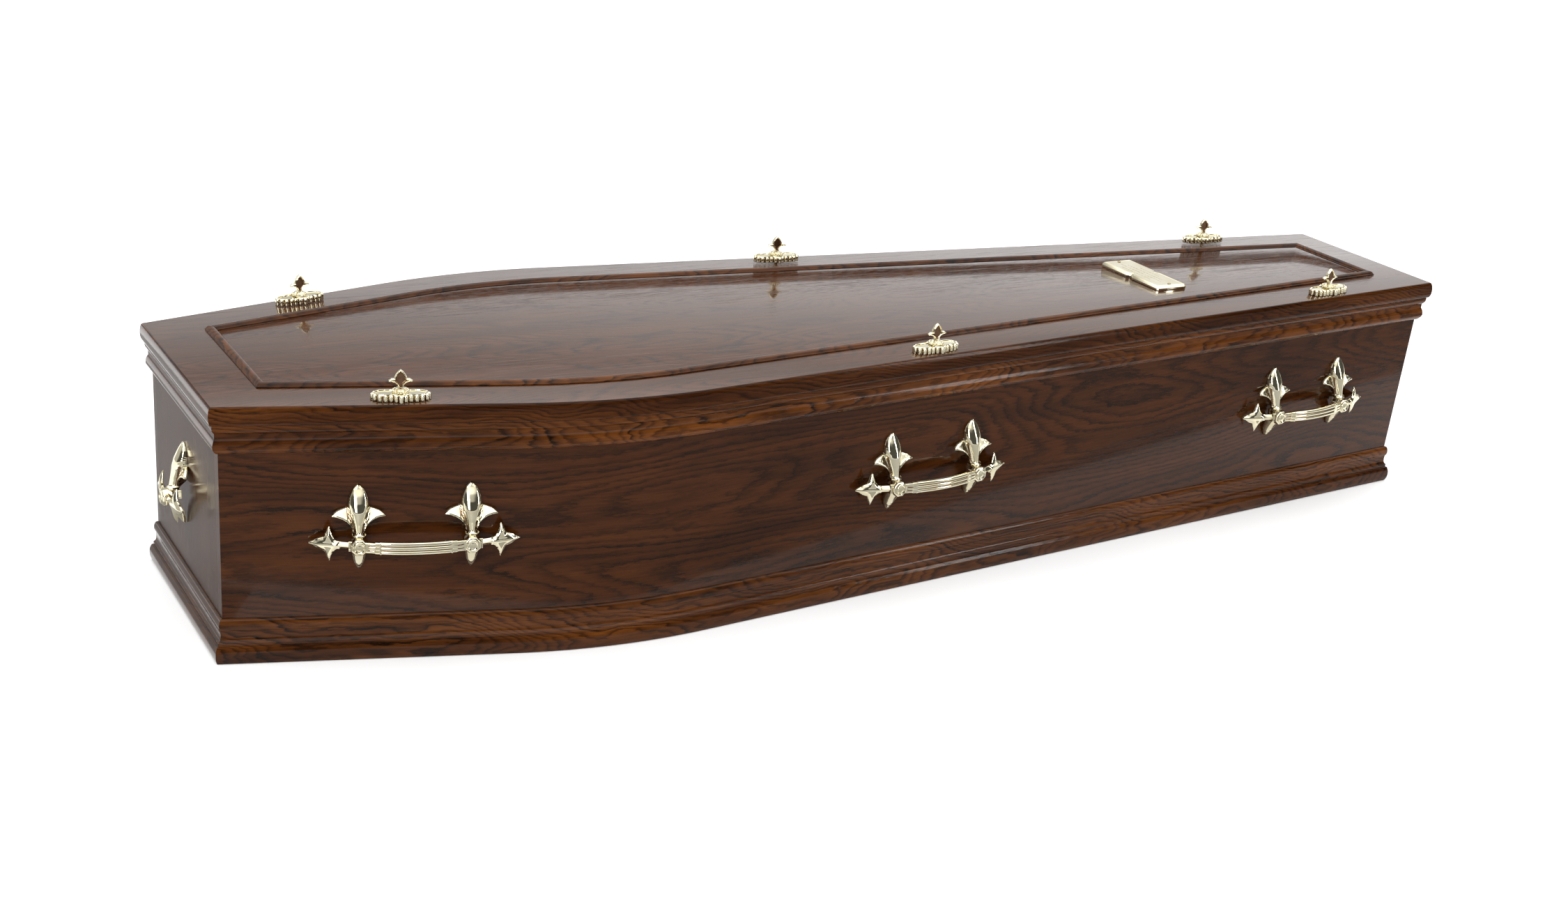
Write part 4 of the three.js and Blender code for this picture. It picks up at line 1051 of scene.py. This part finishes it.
line = np.array(cross_line(2.4, 720))
steps = np.linalg.norm(np.roll(line, -1, axis=0) - line, axis=1)
travel = np.concatenate([[0], np.cumsum(steps)])
lobes = round(travel[-1] / 6.9)
lobe_places = []
for i in range(lobes):
    k = int(np.searchsorted(travel, travel[-1] * i / lobes)) % 720
    lobe_places.append(Matrix.Translation((line[k][0] * MM, line[k][1] * MM, 0)))
rim = row("rim_pattern", make("gadroon_pattern", gadroon()), lobe_places, brass)
core = make("plate_core", plate_core())
bm = bmesh.new()
bm.from_mesh(core.data)
bm.from_mesh(rim.data)
bm.to_mesh(core.data)
bm.free()
core.data.set_sharp_from_angle(angle=math.radians(40))
bpy.data.objects.remove(rim)
SCREW_INSET = 19.0
plate_places = []
for word, x in SCREW_X.items():
    end = 0 if x < SHOULDER_X else 1
    p = straight_point(LID_UNDERSIDE, -SCREW_INSET, end, x)
    n = outward_normals(LID_UNDERSIDE)[end]
    turn = math.atan2(n[0], -n[1])
    for sign in (1, -1):
        plate_places.append(Matrix.Translation((p[0] * MM, sign * p[1] * MM, PLATE_BASE * MM)) @ Matrix.Rotation(sign * turn, 4, "Z"))
plates = row("screw_plates", core, plate_places, brass)
rim_line = np.array(cross_line(0.0))
# Painted shade on the plates: the faces inside the gadroon rim and below its top.
paint_hollow_shade(plates, plate_places, lambda p: (edge_distance(p[:, :2], rim_line) > 1.5) & (p[:, 2] < 8.0))
fit(plates, "brass_fitting", *["screw_plate_%s_%s" % (s, w) for s in ("near", "far") for w in SCREW_X])

# The lid screws: a thumb screw each, with a beaded collar and a flat fleur-de-lis finial whose
# raised border stands round a hollow middle. The shank goes through the lid into the side board.
COLLAR_BASE = PLATE_HIGH + 0.3
COLLAR_TOP = COLLAR_BASE + 5.0
FINIAL = [(0, -1), (3.6, -1), (3.2, 2.4), (4.0, 5.0), (6.6, 7.6), (10.2, 9.0), (14.6, 9.2), (14.8, 10.8), (11.2, 13.2), (7.6, 13.4),
          (7.9, 15.0), (6.2, 18.4), (3.4, 22.2), (0, 25.0)]


def finial_face(x, z, d):
    border = 1.5 * math.exp(-((d - 1.1) / 0.8) ** 2)
    hollow = -0.9 * max(0.0, min(1.0, (d - 1.6) / 1.6))
    return 2.0 - 0.8 * math.exp(-d / 0.4) + border + hollow


finial = carved(both_sides(FINIAL), 0.55, finial_face, lambda x, z, d: -finial_face(x, z, d))
finial = ([(x, h, z + COLLAR_TOP - 1) for x, h, z in finial[0]], finial[1])
collar_steps = [(COLLAR_BASE, 10.4), (COLLAR_BASE + 0.5, 10.9), (COLLAR_BASE + 1.4, 10.9), (COLLAR_BASE + 2.0, 9.4), (COLLAR_BASE + 3.6, 7.2),
                (COLLAR_BASE + 4.2, 7.4), (COLLAR_TOP, 6.6), (COLLAR_TOP + 0.4, 4.2), (COLLAR_TOP + 0.5, 0.3)]
collar = body_of_rings([[(r * math.cos(2 * math.pi * i / 40), r * math.sin(2 * math.pi * i / 40), z) for i in range(40)] for z, r in collar_steps])
shank_steps = [(-45.0, 1.0), (-43.0, 2.9), (-30.0, 3.0), (COLLAR_BASE + 1, 3.0)]
shank = body_of_rings([[(r * math.cos(2 * math.pi * i / 16), r * math.sin(2 * math.pi * i / 16), z) for i in range(16)] for z, r in shank_steps])
pearl = make("pearl_pattern", body_of_rings([[(1.5 * math.cos(b) * math.cos(2 * math.pi * i / 10), 1.5 * math.cos(b) * math.sin(2 * math.pi * i / 10), 1.5 * math.sin(b))
                                             for i in range(10)] for b in (-1.35, -0.8, -0.3, 0.3, 0.8, 1.35)]))
pearl_places = [Matrix.Translation((9.3 * MM * math.cos(2 * math.pi * i / 16), 9.3 * MM * math.sin(2 * math.pi * i / 16), (COLLAR_BASE + 2.2) * MM)) for i in range(16)]
pearls = row("pearl_ring", pearl, pearl_places, brass)
screw = make("screw_pattern", joined(finial, collar, shank), crease=38)
bm = bmesh.new()
bm.from_mesh(screw.data)
bm.from_mesh(pearls.data)
bm.to_mesh(screw.data)
bm.free()
screw.data.set_sharp_from_angle(angle=math.radians(38))
bpy.data.objects.remove(pearls)
screws = row("lid_screws", screw, plate_places, brass, crease=55)


def in_finial(p):
    """The hollow middle of the finial, inside its raised border."""
    flat, line = p[:, [0, 2]] - (0, COLLAR_TOP - 1), np.array(both_sides(FINIAL), float)
    return (flat[:, 1] > 1.6) & inside(flat, line) & (edge_distance(flat, line) > 2.1)


# Painted shade on the screws: the hollow middle of each finial.
paint_hollow_shade(screws, plate_places, in_finial)
fit(screws, "brass_fitting", *["lid_screw_%s_%s" % (s, w) for s in ("near", "far") for w in SCREW_X])

# The name plate: a bevelled brass plate across the panel, waisted in the middle of its long edges,
# with a fine sunk border, rows of shallow engraved strokes, and a round-headed pin at each end.
NAME_X = 527.0
NAME_LONG, NAME_WIDE, NAME_HIGH = 150.0, 56.0, 6.5
name_half = [(NAME_WIDE / 2 - 3.5, 0), (NAME_WIDE / 2 - 3.3, 2.2), (NAME_WIDE / 2 - 2.5, 4.2), (NAME_WIDE / 2 - 0.6, 6.6), (NAME_WIDE / 2, 9),
             (NAME_WIDE / 2, NAME_LONG / 2 - 5), (NAME_WIDE / 2 - 0.5, NAME_LONG / 2 - 2.6), (NAME_WIDE / 2 - 1.5, NAME_LONG / 2 - 1.5),
             (NAME_WIDE / 2 - 2.6, NAME_LONG / 2 - 0.5), (NAME_WIDE / 2 - 5, NAME_LONG / 2)]


def name_loop(inset, z):
    quarter = [(x - inset, min(y, NAME_LONG / 2 - inset) if y > 20 else y) for x, y in name_half]
    upper = quarter + [(-x, y) for x, y in reversed(quarter[1:])]
    left = [(-quarter[0][0], 0)]
    lower = [(-x, -y) for x, y in upper[1:]]
    return [(NAME_X + x, y, PLATE_BASE + z) for x, y in upper + left + lower]


name_levels = [(0.5, 0), (0, 0.6), (0, 3.0), (0.5, 3.6), (2.6, 6.0), (3.2, NAME_HIGH), (4.6, NAME_HIGH), (4.9, 6.2), (5.5, 6.2), (5.8, NAME_HIGH)]
name_plate = make("name_plate_dressed", body_of_rings([name_loop(inset, z) for inset, z in name_levels]), crease=25)
name_plate.data.materials.append(brass)
stroke = make("stroke_pattern", body_of_rings([[(0.45, -0.5, 0), (0.45, 0.5, 0), (-0.45, 0.5, 0), (-0.45, -0.5, 0)],
                                               [(0.25, -0.47, 0.1), (0.25, 0.47, 0.1), (-0.25, 0.47, 0.1), (-0.25, -0.47, 0.1)]]))
chance = np.random.default_rng(12)
stroke_places, stroke_sizes = [], []
for line_x, reach in ((-13, 34), (-5, 52), (3, 44), (11, 24)):
    y = -reach
    while y < reach:
        size = float(chance.uniform(2.0, 7.0))
        stroke_places.append(Matrix.Translation(((NAME_X + line_x) * MM, (y + size / 2) * MM, (PLATE_BASE + NAME_HIGH - 0.02) * MM)))
        stroke_sizes.append((float(chance.uniform(1.0, 2.2)), size, 1.0))
        y += size + float(chance.uniform(1.2, 3.4))
engraved = Finish("engraved brass")
engraved_noise = engraved.noise(engraved.add("ShaderNodeTexCoord").outputs["Object"], 2, 0.5, 300)
engraved.tree.links.new(engraved.ramp(engraved_noise, [(0.3, (0.30, 0.24, 0.13)), (0.7, (0.42, 0.35, 0.21))]), engraved.shader.inputs["Base Color"])
engraved.set(Metallic=1.0, Roughness=0.35)
strokes = row("name_strokes", stroke, stroke_places, engraved.material, stroke_sizes)
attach(strokes, "root")
fit(name_plate, "brass_fitting", "name_plate")
pin_steps = [(-NAME_HIGH - 6.8, 1.2), (0.05, 1.2), (0.1, 2.6), (0.6, 2.5), (1.0, 2.0), (1.3, 1.2), (1.4, 0.2)]
pin = make("pin_pattern", body_of_rings([[(r * math.cos(2 * math.pi * i / 20), r * math.sin(2 * math.pi * i / 20), z) for i in range(20)] for z, r in pin_steps]))
pins = row("name_plate_pins", pin, [Matrix.Translation((NAME_X * MM, y * MM, (PLATE_BASE + NAME_HIGH + 0.3) * MM)) for y in (66.0, -66.0)], engraved.material)
fit(pins, "brass_fitting", "name_plate_pin_1", "name_plate_pin_2")


# The photographer's sweep: a plain pale floor, a soft bright studio round it, and the camera.
def studio():
    ground = bpy.data.meshes.new("sweep")
    far = 60.0
    ground.from_pydata([(-far, -far, -0.0004), (far, -far, -0.0004), (far, far, -0.0004), (-far, far, -0.0004)], [], [(0, 1, 2, 3)])
    sweep = bpy.data.objects.new("sweep", ground)
    bpy.context.collection.objects.link(sweep)
    finish = Finish("pale sweep")
    speck = finish.noise(finish.add("ShaderNodeTexCoord").outputs["Object"], 2, 0.5, 3)
    finish.tree.links.new(finish.ramp(speck, [(0.3, (0.9, 0.9, 0.9)), (0.7, (0.93, 0.93, 0.93))]), finish.shader.inputs["Base Color"])
    finish.set(Roughness=0.9)
    ground.materials.append(finish.material)
    # Two dark flag cards lie on the floor that only mirror reflections see: painted dark reflections of the floor in
    # the lacquer and the brass.
    flag_mesh = bpy.data.meshes.new("flag")
    flag_mesh.from_pydata([(-5, -6, 0), (6, -6, 0), (6, -0.42, 0), (-5, -0.42, 0), (-1.3, -0.4, 0), (-0.99, -0.4, 0), (-0.99, 1.2, 0),
                           (-1.3, 1.2, 0)], [], [(0, 1, 2, 3), (4, 5, 6, 7)])
    flag = bpy.data.objects.new("flag", flag_mesh)
    bpy.context.collection.objects.link(flag)
    cloth = Finish("flag cloth")
    weave = cloth.noise(cloth.add("ShaderNodeTexCoord").outputs["Object"], 2, 0.5, 4)
    cloth.tree.links.new(cloth.ramp(weave, [(0.3, (0.27, 0.27, 0.27)), (0.7, (0.31, 0.31, 0.31))]), cloth.shader.inputs["Base Color"])
    cloth.set(Roughness=0.9)
    flag_mesh.materials.append(cloth.material)
    flag.visible_camera = flag.visible_diffuse = flag.visible_shadow = flag.visible_transmission = False

    world = bpy.data.worlds.new("studio")
    bpy.context.scene.world = world
    world.use_nodes = True
    tree = world.node_tree
    n, link = tree.nodes, tree.links.new
    back = n["Background"]
    where = n.new("ShaderNodeTexCoord")
    parts = n.new("ShaderNodeSeparateXYZ")
    link(where.outputs["Generated"], parts.inputs[0])

    def ramp(value, low, high, a, b):
        made = n.new("ShaderNodeMapRange")
        made.interpolation_type = "SMOOTHSTEP"
        link(value, made.inputs["Value"])
        for slot, v in zip(("From Min", "From Max", "To Min", "To Max"), (low, high, a, b)):
            made.inputs[slot].default_value = v
        return made.outputs[0]

    def add(a, b, operation="ADD"):
        made = n.new("ShaderNodeMath")
        made.operation = operation
        link(a, made.inputs[0])
        link(b, made.inputs[1])
        return made.outputs[0]

    overhead = ramp(parts.outputs[2], 0.42, 0.72, 0.0, 2.1)
    behind = add(ramp(parts.outputs[1], -0.05, 0.35, 0.0, 1.0), ramp(parts.outputs[0], 0.1, 0.75, 0.52, 1.0), "MULTIPLY")
    low = ramp(parts.outputs[2], 0.35, 0.6, 1.0, 0.2)
    total = add(add(overhead, add(behind, low, "MULTIPLY")), ramp(parts.outputs[2], -1, 1, 0.09, 0.09))
    link(total, back.inputs["Strength"])
    back.inputs["Color"].default_value = (1, 1, 1, 1)

    for name, place, aim, width, height, power in (
        ("front_left_softbox", (-3.4, -3.6, 1.9), (-0.3, 0, 0.2), 1.4, 2.4, 110),
        ("front_right_strip", (3.4, -3.6, 1.6), (0.3, 0, 0.2), 0.5, 2.6, 45),
        ("left_floor_light", (-2.1, 1.5, 0.9), (-1.75, 1.15, 0.0), 0.9, 0.9, 3),
    ):
        light = bpy.data.lights.new(name, "AREA")
        light.shape, light.size, light.size_y, light.energy = "RECTANGLE", width, height, power
        lamp = bpy.data.objects.new(name, light)
        bpy.context.collection.objects.link(lamp)
        lamp.location = place
        lamp.rotation_euler = (Vector(aim) - Vector(place)).to_track_quat("-Z", "Y").to_euler()

    forward = Vector((0.45085, 0.82528, -0.34008))
    right = Vector((0.87758, -0.47943, 0.0))
    up = right.cross(forward)
    roll = 0.063
    level = right * math.cos(roll) + up * math.sin(roll)
    upright = up * math.cos(roll) - right * math.sin(roll)
    lens = bpy.data.cameras.new("camera")
    lens.lens, lens.sensor_width, lens.sensor_fit = 51.734, 36.0, "HORIZONTAL"
    lens.clip_start, lens.clip_end = 0.05, 60
    camera = bpy.data.objects.new("camera", lens)
    bpy.context.collection.objects.link(camera)
    turn = Matrix((level, upright, -forward)).transposed().to_4x4()
    camera.matrix_world = Matrix.Translation((-1.58897, -2.74009, 1.24663)) @ turn
    bpy.context.scene.camera = camera
    bpy.context.scene.view_settings.view_transform = "Standard"


studio()
